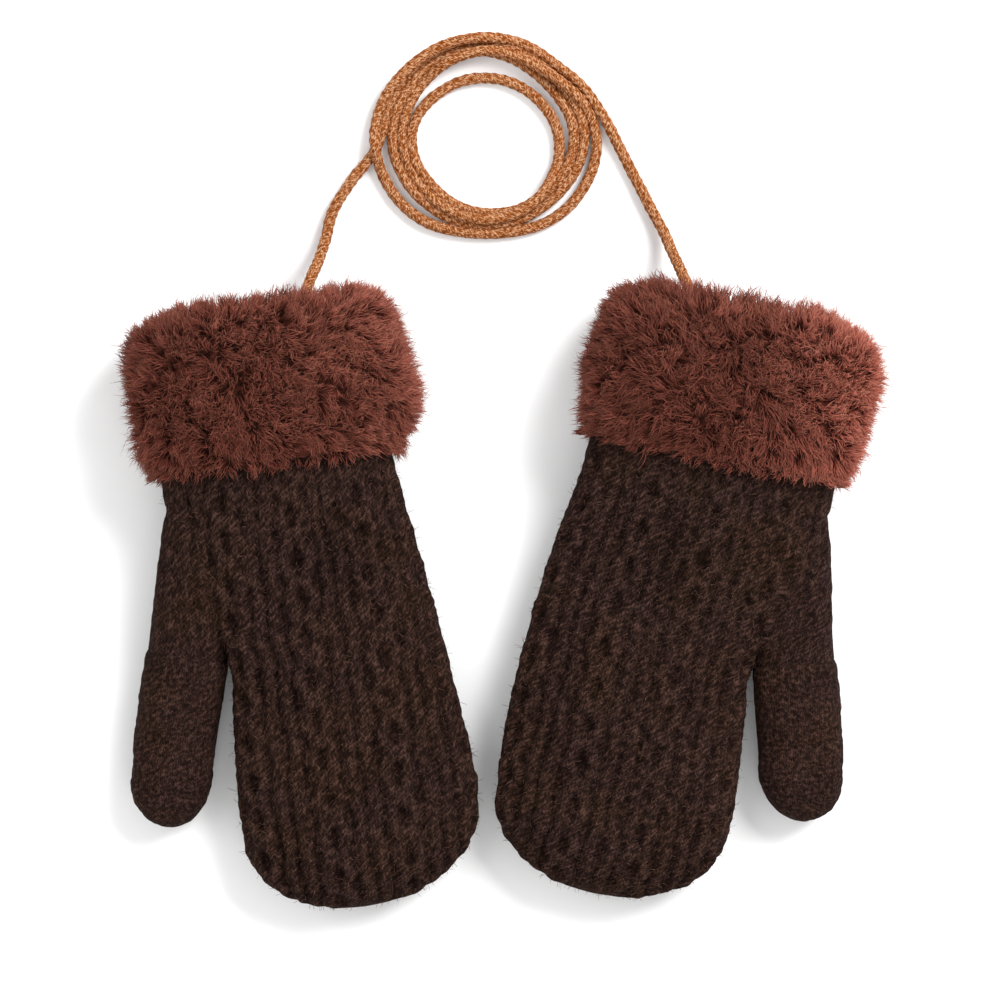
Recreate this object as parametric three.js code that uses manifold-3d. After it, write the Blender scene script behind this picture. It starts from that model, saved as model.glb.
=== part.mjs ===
// A pair of baby mittens lying flat, with plush cuffs and a long cord laid in a coil above them.
// Millimetres, +Z up, the table is z = 0. The fingertips point to -Y and the cord lies towards +Y.
// Each mitten has its own plan: s runs across it, away from the thumb, and v runs from the mouth
// of the cuff (v = 0) to the fingertips.

import * as THREE from 'three';
import { mergeVertices } from 'three/addons/utils/BufferGeometryUtils.js';
import Module from 'manifold-3d';

const { clamp, degToRad, lerp, smoothstep } = THREE.MathUtils;
const wasm = await Module();
wasm.setup();

// Knit: a wall with chain cables and plain ribs raised on its outer side
const KNIT_WALL = 2.2;
const SEAM_GAP = 0.3;
const LINES_PER_PITCH = 8;
const PITCH_AT_WRIST = 15.6;
const PITCH_AT_TIP = 17.4;
const LINK_LENGTH = 9.6;
const CABLE_RISE = 1.1;
const RIB_RISE = 0.7;
const GROOVE_DEPTH = 0.25;
const RELIEF_START = 42;
const RELIEF_FULL = 45;
const RELIEF_INSET = 0.45;
const GUSSET_RIBS_FADE = [76, 79];

// Heights of the knit on the lines from the middle of a cable to the middle of the next plain band
const OPEN_LINK = [-GROOVE_DEPTH, CABLE_RISE, 0.2, RIB_RISE, -GROOVE_DEPTH];
const CLOSED_LINK = [CABLE_RISE, 0.55, -GROOVE_DEPTH, RIB_RISE, -GROOVE_DEPTH];

// The relief fades between these two heights round a section, as sines of its angle,
// and towards a tip between half widths of 0 and FULL_RELIEF_HALF
const RELIEF_FADE = [-0.35, 0.25];
const FULL_RELIEF_HALF = 12;
const PLAIN_TIP_HALF = 6;

// A section across a mitten: a rounded oval whose underside is flat where it rests
const OVAL_POWER = 2.3;
const FLAT_SHARE = 1.3;
const EDGE_HEIGHT = 0.46;
const SIDE_SEAM_LEVEL = 9.2;

// How far a surface may move when its flat parts are merged
const FLATNESS = 0.02;
const MERGE_DISTANCE = 1e-4;
const NEAR_LINES = 13;
const FAR_LINES = 15;
const FLANK_LINES = 3;
const FLOOR_LINES = 5;
const FLOOR_EDGE = 62;
const LINES_REACH = 0.94;
const THUMB_SIDES = 20;

// Rings along the tubes: how far apart inside, how many at each tip, and how open the last one is
const INSIDE_STEP = 10;
const PALM_TIP_RINGS = 6;
const THUMB_TIP_RINGS = 5;
const INSIDE_TIP_RINGS = 4;
const LAST_RING_OPEN = 0.12;
const THUMB_HOLLOW_START = 6;

// Cuff: plush lining turned back over the wrist
const LINING = 2.2;
const LINING_END = 33;
const WRIST_END = 5;
const HEM = 41.6;
const HEM_FULLNESS = 2.6;
const TURNED_EDGE = 0.8;
const MOUTH_START = 3;
const MOUTH_FLARE = 1.6;

// Cord
const CORD_DIAMETER = 2.8;
const CORD_SIDES = 8;
const CORD_STEP = 7;

// Coil of the cord
const COIL = { x: -4, y: 109.6, outerX: 28.2, outerY: 24.7, band: 11.6, height: 5.8 };
const COIL_ROUND = 48;
const COIL_ARC_STEPS = 10;
const COIL_ARC_POWER = 0.7;

// Sections of the two mittens. near is the edge on the thumb's side and far is the other edge.
const MITTENS = {
  left: {
    origin: [-56.4, 69.5],
    tilt: 7.6,
    side: 1,
    palm: [
      { v: 5, near: -30.4, far: 25.0, floor: 5.8, crown: 23.8, cable: -1.0 },
      { v: 41, near: -30.4, far: 25.0, floor: 5.8, crown: 23.8, cable: -1.0 },
      { v: 52, near: -29.4, far: 26.2, floor: 2.0, crown: 22.4, cable: -1.0 },
      { v: 62, near: -27.0, far: 27.7, floor: 0, crown: 21.0, cable: -1.0 },
      { v: 74, near: -23.8, far: 29.5, floor: 0, crown: 20.0, cable: -1.0 },
      { v: 86, near: -20.5, far: 31.1, floor: 0, crown: 19.5, cable: -1.0 },
      { v: 98, near: -21.4, far: 32.4, floor: 0, crown: 19.5, cable: -1.0 },
      { v: 110, near: -22.4, far: 33.8, floor: 0, crown: 19.0, cable: -1.0 },
      { v: 120, near: -22.9, far: 34.7, floor: 0, crown: 18.2, cable: -1.0 },
      { v: 127, near: -22.9, far: 34.2, floor: 0, crown: 17.4, cable: -1.0 },
    ],
    palmTip: { depth: 20.4, drift: -1.7 },
    thumb: [
      { v: 42, near: -28.4, far: -10.0, floor: 7.6, crown: 19.8 },
      { v: 50, near: -31.8, far: -11.0, floor: 3.0, crown: 19.8 },
      { v: 62, near: -35.4, far: -13.8, floor: 0, crown: 18.0 },
      { v: 74, near: -38.5, far: -17.0, floor: 0, crown: 16.4 },
      { v: 86, near: -41.8, far: -20.9, floor: 0, crown: 15.4 },
      { v: 98, near: -45.1, far: -24.7, floor: 0, crown: 15.0 },
      { v: 110, near: -47.8, far: -28.1, floor: 0, crown: 14.4 },
    ],
    thumbTip: { depth: 12.6, drift: -0.9 },
    crotch: [-20.7, 85.2],
    cuff: [
      { v: -1.5, near: -23.5, far: 21.5, floor: 5.6, crown: 24.8 },
      { v: 1.2, near: -29.2, far: 28.0, floor: 1.4, crown: 29.4 },
      { v: 5, near: -33.6, far: 30.6, floor: 0, crown: 31.0 },
      { v: 14, near: -36.7, far: 32.2, floor: 0, crown: 31.6 },
      { v: 26, near: -36.2, far: 34.0, floor: 0, crown: 31.6 },
      { v: 35, near: -36.4, far: 33.1, floor: 0, crown: 31.0 },
      { v: 39.6, near: -34.2, far: 30.4, floor: 0.8, crown: 29.2 },
    ],
  },
  right: {
    origin: [58.9, 68.9],
    tilt: -12,
    side: -1,
    palm: [
      { v: 5, near: -29.4, far: 30.4, floor: 5.8, crown: 23.8, cable: -2.6 },
      { v: 41, near: -29.4, far: 30.4, floor: 5.8, crown: 23.8, cable: -2.6 },
      { v: 52, near: -28.4, far: 31.4, floor: 2.0, crown: 22.4, cable: -2.6 },
      { v: 62, near: -26.2, far: 33.0, floor: 0, crown: 21.0, cable: -2.0 },
      { v: 74, near: -22.8, far: 34.4, floor: 0, crown: 20.0, cable: -1.2 },
      { v: 86, near: -19.1, far: 35.2, floor: 0, crown: 19.5, cable: -0.7 },
      { v: 98, near: -20.3, far: 35.9, floor: 0, crown: 19.5, cable: -0.7 },
      { v: 110, near: -21.5, far: 36.0, floor: 0, crown: 19.0, cable: -0.7 },
      { v: 120, near: -22.2, far: 35.4, floor: 0, crown: 18.2, cable: -0.9 },
      { v: 126, near: -22.2, far: 34.7, floor: 0, crown: 17.4, cable: -1.0 },
    ],
    palmTip: { depth: 20.4, drift: 0.4 },
    thumb: [
      { v: 42, near: -27.4, far: -9.6, floor: 7.6, crown: 19.8 },
      { v: 50, near: -30.8, far: -10.5, floor: 3.0, crown: 19.8 },
      { v: 62, near: -34.1, far: -13.0, floor: 0, crown: 18.0 },
      { v: 74, near: -37.1, far: -16.0, floor: 0, crown: 16.4 },
      { v: 86, near: -40.8, far: -19.5, floor: 0, crown: 15.4 },
      { v: 97, near: -43.9, far: -22.8, floor: 0, crown: 15.0 },
      { v: 107, near: -46.5, far: -25.7, floor: 0, crown: 14.4 },
    ],
    thumbTip: { depth: 12.3, drift: -1.2 },
    crotch: [-19.3, 85.4],
    cuff: [
      { v: -1.5, near: -22.5, far: 25.0, floor: 5.6, crown: 24.8 },
      { v: 1.2, near: -29.4, far: 28.8, floor: 1.4, crown: 29.4 },
      { v: 5, near: -33.2, far: 33.2, floor: 0, crown: 31.0 },
      { v: 14, near: -35.4, far: 35.4, floor: 0, crown: 31.6 },
      { v: 26, near: -35.1, far: 35.6, floor: 0, crown: 31.6 },
      { v: 35, near: -34.6, far: 35.2, floor: 0, crown: 31.0 },
      { v: 39.6, near: -32.0, far: 34.4, floor: 0.8, crown: 29.2 },
    ],
  },
};

// The thumb's seam leans by this angle, and the groove between thumb and palm by this share
const THUMB_LEAN = 15;
const GROOVE_LEAN = 0.18;
const CUT_REACH = 60;
const BELOW_TABLE = 10;

// Route of the cord outside its coil: from inside each cuff, over its lip and along the table
const CORD_LEFT = [
  [-48.0, 63.5, 12.4],
  [-47.4, 69.2, 12.5],
  [-46.1, 74.0, 11.1],
  [-44.2, 79.0, 6.4],
  [-42.6, 84.2, 3.0],
  [-41.3, 90.0, 1.7],
  [-38.9, 94.7, 1.5],
  [-36.0, 98.9, 1.5],
  [-32.3, 103.1, 1.5],
];
const CORD_RIGHT = [
  [45.8, 65.4, 12.4],
  [44.9, 70.8, 12.5],
  [43.0, 76.2, 10.4],
  [41.2, 80.6, 5.8],
  [39.4, 85.2, 2.9],
  [36.7, 90.4, 1.7],
  [33.1, 97.4, 1.5],
  [28.6, 106.2, 1.5],
  [25.6, 112.2, 1.5],
];

// One column of a table of sections at station v, eased between the rows; equal rows stay level
function column(rows, v, name) {
  const last = rows.length - 1;
  const found = rows.findIndex((row) => row.v > v);
  const i = clamp(found === -1 ? last : found, 1, last);
  const [from, to] = [rows[i - 1], rows[i]];
  if (from[name] === to[name]) {
    return from[name];
  }
  const slope = (k) => {
    const [low, high] = [rows[Math.max(k - 1, 0)], rows[Math.min(k + 1, last)]];
    return (high[name] - low[name]) / (high.v - low.v);
  };
  const span = to.v - from.v;
  const t = clamp((v - from.v) / span, 0, 1);
  const [t2, t3] = [t * t, t * t * t];
  const start = (2 * t3 - 3 * t2 + 1) * from[name] + (t3 - 2 * t2 + t) * span * slope(i - 1);
  const finish = (3 * t2 - 2 * t3) * to[name] + (t3 - t2) * span * slope(i);
  return start + finish;
}

// The section of a tube at station v; past its last row it closes as a quarter ellipse
function sectionAt(rows, tip, v) {
  const end = rows[rows.length - 1];
  const values = {};
  for (const name of ['near', 'far', 'floor', 'crown']) {
    values[name] = column(rows, Math.min(v, end.v), name);
  }
  const t = clamp((v - end.v) / tip.depth, 0, 1);
  const round = Math.sqrt(1 - t * t);
  const middle = (values.near + values.far) / 2 + tip.drift * t;
  const half = ((values.far - values.near) / 2) * round;
  const edge = lerp(values.floor, values.crown, EDGE_HEIGHT);
  const rise = (values.crown - edge) * Math.pow(round, 0.9);
  const drop = (edge - values.floor) * Math.min(1, 1.6 * round);
  return { v, middle, half, edge, rise, drop };
}

// The same section moved in by a wall, or out where the wall is negative
function inset(section, wall) {
  const { v, middle, half, edge, rise, drop } = section;
  return { v, middle, half: half - wall, edge, rise: rise - wall, drop: drop - wall };
}

// A point of a section's oval; angle 0 is the far edge and 90 degrees is the crown
function ovalPoint(section, angle) {
  const [c, d] = [Math.cos(angle), Math.sin(angle)];
  const bend = (value) => Math.sign(value) * Math.pow(Math.abs(value), 2 / OVAL_POWER);
  const s = section.middle + section.half * bend(c);
  const under = -Math.min(section.drop, -FLAT_SHARE * section.drop * bend(Math.min(d, 0)));
  return [s, section.edge + (d > 0 ? section.rise * bend(d) : under)];
}

// Angles round a section whose points lie on the cable lines, measured along the surface
function cableAngles(section, cable, pitch) {
  const COUNT = 240;
  const [start, end] = [degToRad(-FLOOR_EDGE), degToRad(180 + FLOOR_EDGE)];
  const angles = Array.from({ length: COUNT + 1 }, (_, i) => lerp(start, end, i / COUNT));
  const points = angles.map((angle) => ovalPoint(section, angle));
  const lengths = [0];
  for (let i = 1; i <= COUNT; i += 1) {
    const [dx, dz] = [points[i][0] - points[i - 1][0], points[i][1] - points[i - 1][1]];
    lengths.push(lengths[i - 1] + Math.hypot(dx, dz));
  }
  const angleAt = (length) => {
    const i = clamp(lengths.findIndex((value) => value >= length), 1, COUNT);
    const t = (length - lengths[i - 1]) / (lengths[i] - lengths[i - 1]);
    return lerp(angles[i - 1], angles[i], clamp(t, 0, 1));
  };
  const onCable = points.findIndex((point) => point[0] <= cable);
  const centre = lengths[onCable];
  const step = pitch / LINES_PER_PITCH;
  const farStep = Math.min(step, (LINES_REACH * centre) / FAR_LINES);
  const nearStep = Math.min(step, (LINES_REACH * (lengths[COUNT] - centre)) / NEAR_LINES);
  const lines = [];
  const farEnd = centre - FAR_LINES * farStep;
  const nearEnd = centre + NEAR_LINES * nearStep;
  for (let i = 0; i < FLANK_LINES; i += 1) {
    lines.push({ length: (farEnd * i) / FLANK_LINES, line: null });
  }
  for (let k = -FAR_LINES; k <= NEAR_LINES; k += 1) {
    lines.push({ length: centre + k * (k < 0 ? farStep : nearStep), line: k });
  }
  for (let i = 1; i <= FLANK_LINES; i += 1) {
    lines.push({ length: lerp(nearEnd, lengths[COUNT], i / FLANK_LINES), line: null });
  }
  const ring = lines.map(({ length, line }) => ({ angle: angleAt(length), line }));
  for (let i = 1; i <= FLOOR_LINES; i += 1) {
    const t = i / (FLOOR_LINES + 1);
    ring.push({ angle: lerp(end, start + 2 * Math.PI, t), line: null });
  }
  return ring;
}

// Height of the knit over its wall: two strands of a cable part and meet, with two ribs between
function knitRise(line, row) {
  if (line === null) {
    return 0;
  }
  const phase = ((line % LINES_PER_PITCH) + LINES_PER_PITCH) % LINES_PER_PITCH;
  const across = Math.min(phase, LINES_PER_PITCH - phase);
  const heights = row % 2 === 0 ? OPEN_LINK : CLOSED_LINK;
  return heights[across];
}

// Share of the relief that a place on a section takes, none where the section rests on the table
function clearOfTable(angle) {
  return smoothstep(Math.sin(angle), RELIEF_FADE[0], RELIEF_FADE[1]);
}

// One ring of points of a section, raised where rise gives a height for the point
function ringPoints(section, angles, rise = () => 0) {
  const base = angles.map(({ angle }) => ovalPoint(section, angle));
  return base.map(([s, z], i) => {
    const before = base[(i + base.length - 1) % base.length];
    const after = base[(i + 1) % base.length];
    const [ts, tz] = [after[0] - before[0], after[1] - before[1]];
    const size = Math.hypot(ts, tz) || 1;
    const height = rise(angles[i], i);
    return [s + (tz / size) * height, section.v, z - (ts / size) * height];
  });
}

// A closed body through rings of points: capped ends, or joined last to first when looped
function loft(rings, looped = false) {
  const count = rings[0].length;
  const points = rings.flat();
  const faces = [];
  const spans = looped ? rings.length : rings.length - 1;
  for (let r = 0; r < spans; r += 1) {
    const [low, high] = [r * count, ((r + 1) % rings.length) * count];
    for (let i = 0; i < count; i += 1) {
      const j = (i + 1) % count;
      faces.push([low + i, low + j, high + i], [low + j, high + j, high + i]);
    }
  }
  if (!looped) {
    for (const [r, turn] of [[0, 1], [rings.length - 1, 0]]) {
      const middle = [0, 1, 2].map((axis) => {
        return rings[r].reduce((sum, point) => sum + point[axis], 0) / count;
      });
      const centre = points.push(middle) - 1;
      for (let i = 0; i < count; i += 1) {
        const edge = [r * count + i, r * count + ((i + 1) % count)];
        faces.push(turn ? [edge[1], edge[0], centre] : [edge[0], edge[1], centre]);
      }
    }
  }
  return { points, faces };
}

// A manifold solid of a body given in a mitten's plan (s, v, z), with its faces turned out
function planSolid({ points, faces }, side) {
  const vertices = points.map(([s, v, z]) => [side * s, -v, z]);
  return solidOf(vertices.flat(), faces.flat());
}

function solidOf(numbers, indices) {
  const geometry = new THREE.BufferGeometry();
  geometry.setAttribute('position', new THREE.Float32BufferAttribute(numbers, 3));
  geometry.setIndex(indices);
  return geometrySolid(geometry);
}

function geometrySolid(source) {
  const bare = source.clone();
  bare.deleteAttribute('normal');
  bare.deleteAttribute('uv');
  const geometry = mergeVertices(bare, MERGE_DISTANCE);
  const position = geometry.attributes.position;
  const triangles = Uint32Array.from(geometry.index.array);
  const [a, b, c] = [new THREE.Vector3(), new THREE.Vector3(), new THREE.Vector3()];
  let volume = 0;
  for (let i = 0; i < triangles.length; i += 3) {
    a.fromBufferAttribute(position, triangles[i]);
    b.fromBufferAttribute(position, triangles[i + 1]);
    c.fromBufferAttribute(position, triangles[i + 2]);
    volume += a.dot(b.cross(c));
  }
  if (volume < 0) {
    for (let i = 0; i < triangles.length; i += 3) {
      [triangles[i], triangles[i + 1]] = [triangles[i + 1], triangles[i]];
    }
  }
  const vertProperties = Float32Array.from(position.array);
  const mesh = new wasm.Mesh({ numProp: 3, vertProperties, triVerts: triangles });
  return new wasm.Manifold(mesh);
}

// The geometry of a solid, whose flat parts are merged into as few triangles as they take
function solidGeometry(solid) {
  const mesh = solid.asOriginal().simplify(FLATNESS).getMesh();
  const geometry = new THREE.BufferGeometry();
  geometry.setAttribute('position', new THREE.BufferAttribute(mesh.vertProperties, 3));
  geometry.setIndex(new THREE.BufferAttribute(mesh.triVerts, 1));
  geometry.computeVertexNormals();
  return geometry;
}

// The palm's tube at station v, with its ring angles on the cable lines
function palmRing(mitten, v) {
  const section = sectionAt(mitten.palm, mitten.palmTip, v);
  const station = clamp(v, WRIST_END, mitten.palm[mitten.palm.length - 1].v);
  const pitch = lerp(PITCH_AT_WRIST, PITCH_AT_TIP, smoothstep(station, RELIEF_START, 85));
  const straight = sectionAt(mitten.palm, mitten.palmTip, station);
  const angles = cableAngles(straight, column(mitten.palm, station, 'cable'), pitch);
  return { section, angles };
}

// Stations along a tube: a step apart, then closing round its tip
function stations(from, rows, tip, step, tipSteps) {
  const end = rows[rows.length - 1].v;
  const count = Math.ceil((end - from) / step);
  const list = Array.from({ length: count + 1 }, (_, i) => lerp(from, end, i / count));
  for (let i = 1; i <= tipSteps; i += 1) {
    const angle = ((i - LAST_RING_OPEN) / tipSteps) * (Math.PI / 2);
    list.push(end + tip.depth * Math.sin(angle));
  }
  return list;
}

function palmOuter(mitten) {
  const { palm, palmTip } = mitten;
  const visible = stations(RELIEF_START, palm, palmTip, LINK_LENGTH / 2, PALM_TIP_RINGS);
  const rings = [WRIST_END, ...visible].map((v, row) => {
    const { section, angles } = palmRing(mitten, v);
    const strength = smoothstep(v, RELIEF_START, RELIEF_FULL);
    const shrink = section.half > PLAIN_TIP_HALF ? RELIEF_INSET * strength : 0;
    const shrunk = { ...inset(section, shrink), drop: section.drop };
    const towardsTip = Math.min(1, section.half / FULL_RELIEF_HALF);
    return ringPoints(shrunk, angles, ({ angle, line }) => {
      return knitRise(line, row) * strength * clearOfTable(angle) * towardsTip;
    });
  });
  return planSolid(loft(rings), mitten.side);
}

function palmInner(mitten) {
  const tip = { ...mitten.palmTip, depth: mitten.palmTip.depth - KNIT_WALL };
  const end = mitten.palm[mitten.palm.length - 1].v;
  const inside = stations(RELIEF_START, mitten.palm, tip, INSIDE_STEP, INSIDE_TIP_RINGS);
  const rings = [0, WRIST_END, ...inside].map((v) => {
    const { angles } = palmRing(mitten, v);
    const rest = inset(sectionAt(mitten.palm, tip, Math.min(v, end)), KNIT_WALL + RELIEF_INSET);
    const t = clamp((v - end) / tip.depth, 0, 1);
    const round = Math.sqrt(1 - t * t);
    const plain = v <= RELIEF_START ? RELIEF_INSET : 0;
    const section = {
      v,
      middle: rest.middle + tip.drift * t,
      half: (rest.half + plain) * round,
      edge: rest.edge,
      rise: (rest.rise + plain) * round,
      drop: (rest.drop + RELIEF_INSET) * round,
    };
    return ringPoints(section, angles);
  });
  return planSolid(loft(rings), mitten.side);
}

const EVEN_ANGLES = Array.from({ length: THUMB_SIDES }, (_, i) => {
  return { angle: (2 * Math.PI * i) / THUMB_SIDES, line: i };
});

// Ribs of the gusset fade out above the plain thumb
function thumbOuter(mitten) {
  const { thumb, thumbTip } = mitten;
  const list = stations(thumb[0].v, thumb, thumbTip, LINK_LENGTH / 2, THUMB_TIP_RINGS);
  const rings = list.map((v) => {
    const section = sectionAt(thumb, thumbTip, v);
    const faded = smoothstep(v, GUSSET_RIBS_FADE[0], GUSSET_RIBS_FADE[1]);
    const ribbed = smoothstep(v, RELIEF_START, RELIEF_FULL) * (1 - faded);
    const shrunk = { ...inset(section, RELIEF_INSET * ribbed), drop: section.drop };
    return ringPoints(shrunk, EVEN_ANGLES, ({ angle, line }) => {
      return ribbed * clearOfTable(angle) * (line % 2 === 0 ? RIB_RISE : -GROOVE_DEPTH);
    });
  });
  return planSolid(loft(rings), mitten.side);
}

function thumbInner(mitten) {
  const tip = { ...mitten.thumbTip, depth: mitten.thumbTip.depth - KNIT_WALL };
  const end = mitten.thumb[mitten.thumb.length - 1].v;
  const start = mitten.thumb[0].v + THUMB_HOLLOW_START;
  const list = stations(start, mitten.thumb, tip, INSIDE_STEP, INSIDE_TIP_RINGS);
  const rings = list.map((v) => {
    const rest = inset(sectionAt(mitten.thumb, tip, Math.min(v, end)), KNIT_WALL);
    const t = clamp((v - end) / tip.depth, 0, 1);
    const round = Math.sqrt(1 - t * t);
    const section = {
      v,
      middle: rest.middle + tip.drift * t,
      half: rest.half * round,
      edge: rest.edge,
      rise: rest.rise * round,
      drop: rest.drop * round,
    };
    return ringPoints(section, EVEN_ANGLES);
  });
  return planSolid(loft(rings), mitten.side);
}

// The space round the thumb, past its seam by margin, as a tall prism over the mitten's plan
function thumbSpace(mitten, margin) {
  const lean = degToRad(THUMB_LEAN);
  const [along, across] = [
    [-Math.sin(lean), Math.cos(lean)],
    [-Math.cos(lean), -Math.sin(lean)],
  ];
  const corner = mitten.crotch.map((value, axis) => value + margin * along[axis]);
  const outline = [
    corner,
    corner.map((value, axis) => value + CUT_REACH * across[axis]),
    corner.map((value, axis) => value + CUT_REACH * (across[axis] + along[axis])),
    [corner[0] - GROOVE_LEAN * CUT_REACH, corner[1] + CUT_REACH],
  ];
  const shape = new THREE.Shape(outline.map(([s, v]) => {
    return new THREE.Vector2(mitten.side * s, -v);
  }));
  const prism = new THREE.ExtrudeGeometry(shape, { depth: CUT_REACH, bevelEnabled: false });
  prism.translate(0, 0, -BELOW_TABLE);
  return geometrySolid(prism);
}

// The knit shell of one mitten, split at the thumb's seam and at the side seams of the hand
function knitShell(mitten) {
  const outer = palmOuter(mitten).add(thumbOuter(mitten));
  const inner = palmInner(mitten).add(thumbInner(mitten));
  const shell = outer.subtract(inner);
  const hand = shell.subtract(thumbSpace(mitten, -SEAM_GAP / 2));
  const up = [0, 0, 1];
  const down = [0, 0, -1];
  return {
    upper: hand.trimByPlane(up, SIDE_SEAM_LEVEL + SEAM_GAP / 2),
    under: hand.trimByPlane(down, SEAM_GAP / 2 - SIDE_SEAM_LEVEL),
    thumb: shell.intersect(thumbSpace(mitten, SEAM_GAP / 2)),
  };
}

// The plush: over the lip, along the outside to the hem, back over the knit and into the mitten
function cuffSolid(mitten) {
  const { section: wrist, angles } = palmRing(mitten, WRIST_END);
  const at = (v, section) => ({ ...section, v });
  const noTip = { depth: 1, drift: 0 };
  const outside = mitten.cuff.map((row) => sectionAt(mitten.cuff, noTip, row.v));
  const overKnit = inset(wrist, -SEAM_GAP);
  const underKnit = inset(wrist, KNIT_WALL + SEAM_GAP);
  const mouth = inset(wrist, KNIT_WALL + SEAM_GAP + LINING);
  const sections = [
    ...outside,
    at(HEM, inset(wrist, -HEM_FULLNESS)),
    at(HEM - TURNED_EDGE, overKnit),
    at(WRIST_END - SEAM_GAP, overKnit),
    at(WRIST_END - SEAM_GAP, underKnit),
    at(LINING_END - TURNED_EDGE, underKnit),
    at(LINING_END, inset(wrist, KNIT_WALL + SEAM_GAP + LINING / 2)),
    at(LINING_END - TURNED_EDGE, mouth),
    at(MOUTH_START, mouth),
    at(0, inset(mouth, -MOUTH_FLARE)),
  ];
  const rings = sections.map((section) => ringPoints(section, angles));
  return planSolid(loft(rings, true), mitten.side);
}

function fabric(color, roughness) {
  return new THREE.MeshStandardMaterial({ color, roughness, metalness: 0 });
}

const knitColour = 0x2e201c;
const plushColour = 0x5a2c24;
const cordColour = 0xa56a3f;

function namedMesh(name, geometry, material) {
  const mesh = new THREE.Mesh(geometry, material);
  mesh.name = name;
  return mesh;
}

// A tube with flat ends along a route chosen by hand
function cordTube(points) {
  const route = new THREE.CatmullRomCurve3(points.map((point) => new THREE.Vector3(...point)));
  const radius = CORD_DIAMETER / 2 / Math.cos(Math.PI / CORD_SIDES);
  const corners = Array.from({ length: CORD_SIDES }, (_, i) => {
    const angle = (2 * Math.PI * (i + 0.5)) / CORD_SIDES;
    return new THREE.Vector2(radius * Math.cos(angle), radius * Math.sin(angle));
  });
  const steps = Math.round(route.getLength() / CORD_STEP);
  return new THREE.ExtrudeGeometry(new THREE.Shape(corners), { steps, extrudePath: route });
}

// An oval ring round all the turns of the cord, flat underneath
function coilGeometry() {
  const [middle, half] = [COIL.outerX - COIL.band / 2, COIL.band / 2];
  const profile = [];
  for (let i = 0; i <= COIL_ARC_STEPS; i += 1) {
    const angle = Math.PI * (i / COIL_ARC_STEPS);
    const height = COIL.height * Math.sin(angle) ** COIL_ARC_POWER;
    profile.push(new THREE.Vector2(middle + half * Math.cos(angle), height));
  }
  profile.push(profile[0].clone());
  const ring = new THREE.LatheGeometry(profile, COIL_ROUND);
  ring.rotateX(Math.PI / 2);
  ring.scale(1, COIL.outerY / COIL.outerX, 1);
  return ring;
}

const group = new THREE.Group();
for (const [name, mitten] of Object.entries(MITTENS)) {
  const placed = new THREE.Group();
  placed.position.set(mitten.origin[0], mitten.origin[1], 0);
  placed.rotation.z = degToRad(mitten.tilt);
  const { upper, under, thumb } = knitShell(mitten);
  placed.add(
    namedMesh(`hand_${name}_upper`, solidGeometry(upper), fabric(knitColour, 0.92)),
    namedMesh(`hand_${name}_under`, solidGeometry(under), fabric(knitColour, 0.92)),
    namedMesh(`thumb_${name}`, solidGeometry(thumb), fabric(knitColour, 0.9)),
    namedMesh(`cuff_${name}`, solidGeometry(cuffSolid(mitten)), fabric(plushColour, 0.96)),
  );
  group.add(placed);
}

const coil = namedMesh('cord_coil', solidGeometry(geometrySolid(coilGeometry())), fabric(cordColour, 0.8));
coil.position.set(COIL.x, COIL.y, 0);
group.add(coil);
group.add(namedMesh('cord_left', cordTube(CORD_LEFT), fabric(cordColour, 0.8)));
group.add(namedMesh('cord_right', cordTube(CORD_RIGHT), fabric(cordColour, 0.8)));

export default group;
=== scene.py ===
"""A pair of baby mittens in cabled knit with plush cuffs and a coiled cord, laid flat on a pale table.

Each mitten has its own plan: s runs across it, away from the thumb, and v runs from the mouth of the
cuff to the fingertips. Sizes are in millimetres until place() puts them into the room in metres.
"""

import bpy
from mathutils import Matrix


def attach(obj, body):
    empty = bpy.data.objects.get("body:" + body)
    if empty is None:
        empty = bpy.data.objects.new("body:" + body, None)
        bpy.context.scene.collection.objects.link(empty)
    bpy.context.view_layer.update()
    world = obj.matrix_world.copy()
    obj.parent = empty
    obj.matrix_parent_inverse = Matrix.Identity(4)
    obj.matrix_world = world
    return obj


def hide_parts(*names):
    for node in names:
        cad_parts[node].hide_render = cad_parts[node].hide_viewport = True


bl_info = {
    "name": "Baby mittens",
    "version": (1, 0, 0),
    "blender": (4, 5, 0),
    "location": "View3D > Sidebar > Mittens",
    "description": "Knitted mittens with plush cuffs and a long cord, laid flat",
    "category": "Object",
}

import math

import bpy
import numpy as np
from bpy.props import FloatProperty, FloatVectorProperty, IntProperty, PointerProperty

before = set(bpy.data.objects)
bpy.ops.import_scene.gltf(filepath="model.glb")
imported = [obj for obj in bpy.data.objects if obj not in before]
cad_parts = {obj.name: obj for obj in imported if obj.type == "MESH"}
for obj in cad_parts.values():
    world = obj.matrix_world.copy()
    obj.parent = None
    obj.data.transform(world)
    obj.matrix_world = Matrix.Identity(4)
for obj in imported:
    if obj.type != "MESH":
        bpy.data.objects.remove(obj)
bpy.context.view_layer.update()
MM = 0.001

# Knit
KNIT_WALL = 2.2
SEAM_GAP = 0.3
PITCH_AT_WRIST = 15.6
PITCH_AT_TIP = 17.4
LINK_LENGTH = 9.6
LOOP_LENGTH = 3.2
RELIEF_START = 40.0
RELIEF_FULL = 46.0
# RELIEF_RANGE and PLAIN_RELIEF_SHADING set the painted shade that darkens the knit relief's grooves.
RELIEF_RANGE = 2.1
PLAIN_RELIEF_SHADING = 0.5
CROTCH_BLEND = (2.4, 1.4)
PALM_POINTS, PALM_TOP_SHARE = 188, 0.76
THUMB_POINTS, THUMB_TOP_SHARE = 112, 0.72
INNER_RINGS = 16
SEAM_OVERLAP = 1.2
SEAM_TUCK = 0.35
POLE = 0.002
SLANT_START, GUSSET_END = 68, 86
THUMB_START, SLANT_END = 80, 96
THUMB_LEAN = math.radians(15)

# A section across a mitten: a rounded oval whose underside is flat where it rests
OVAL_POWER = 2.3
FLAT_SHARE = 1.3
EDGE_HEIGHT = 0.46

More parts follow.
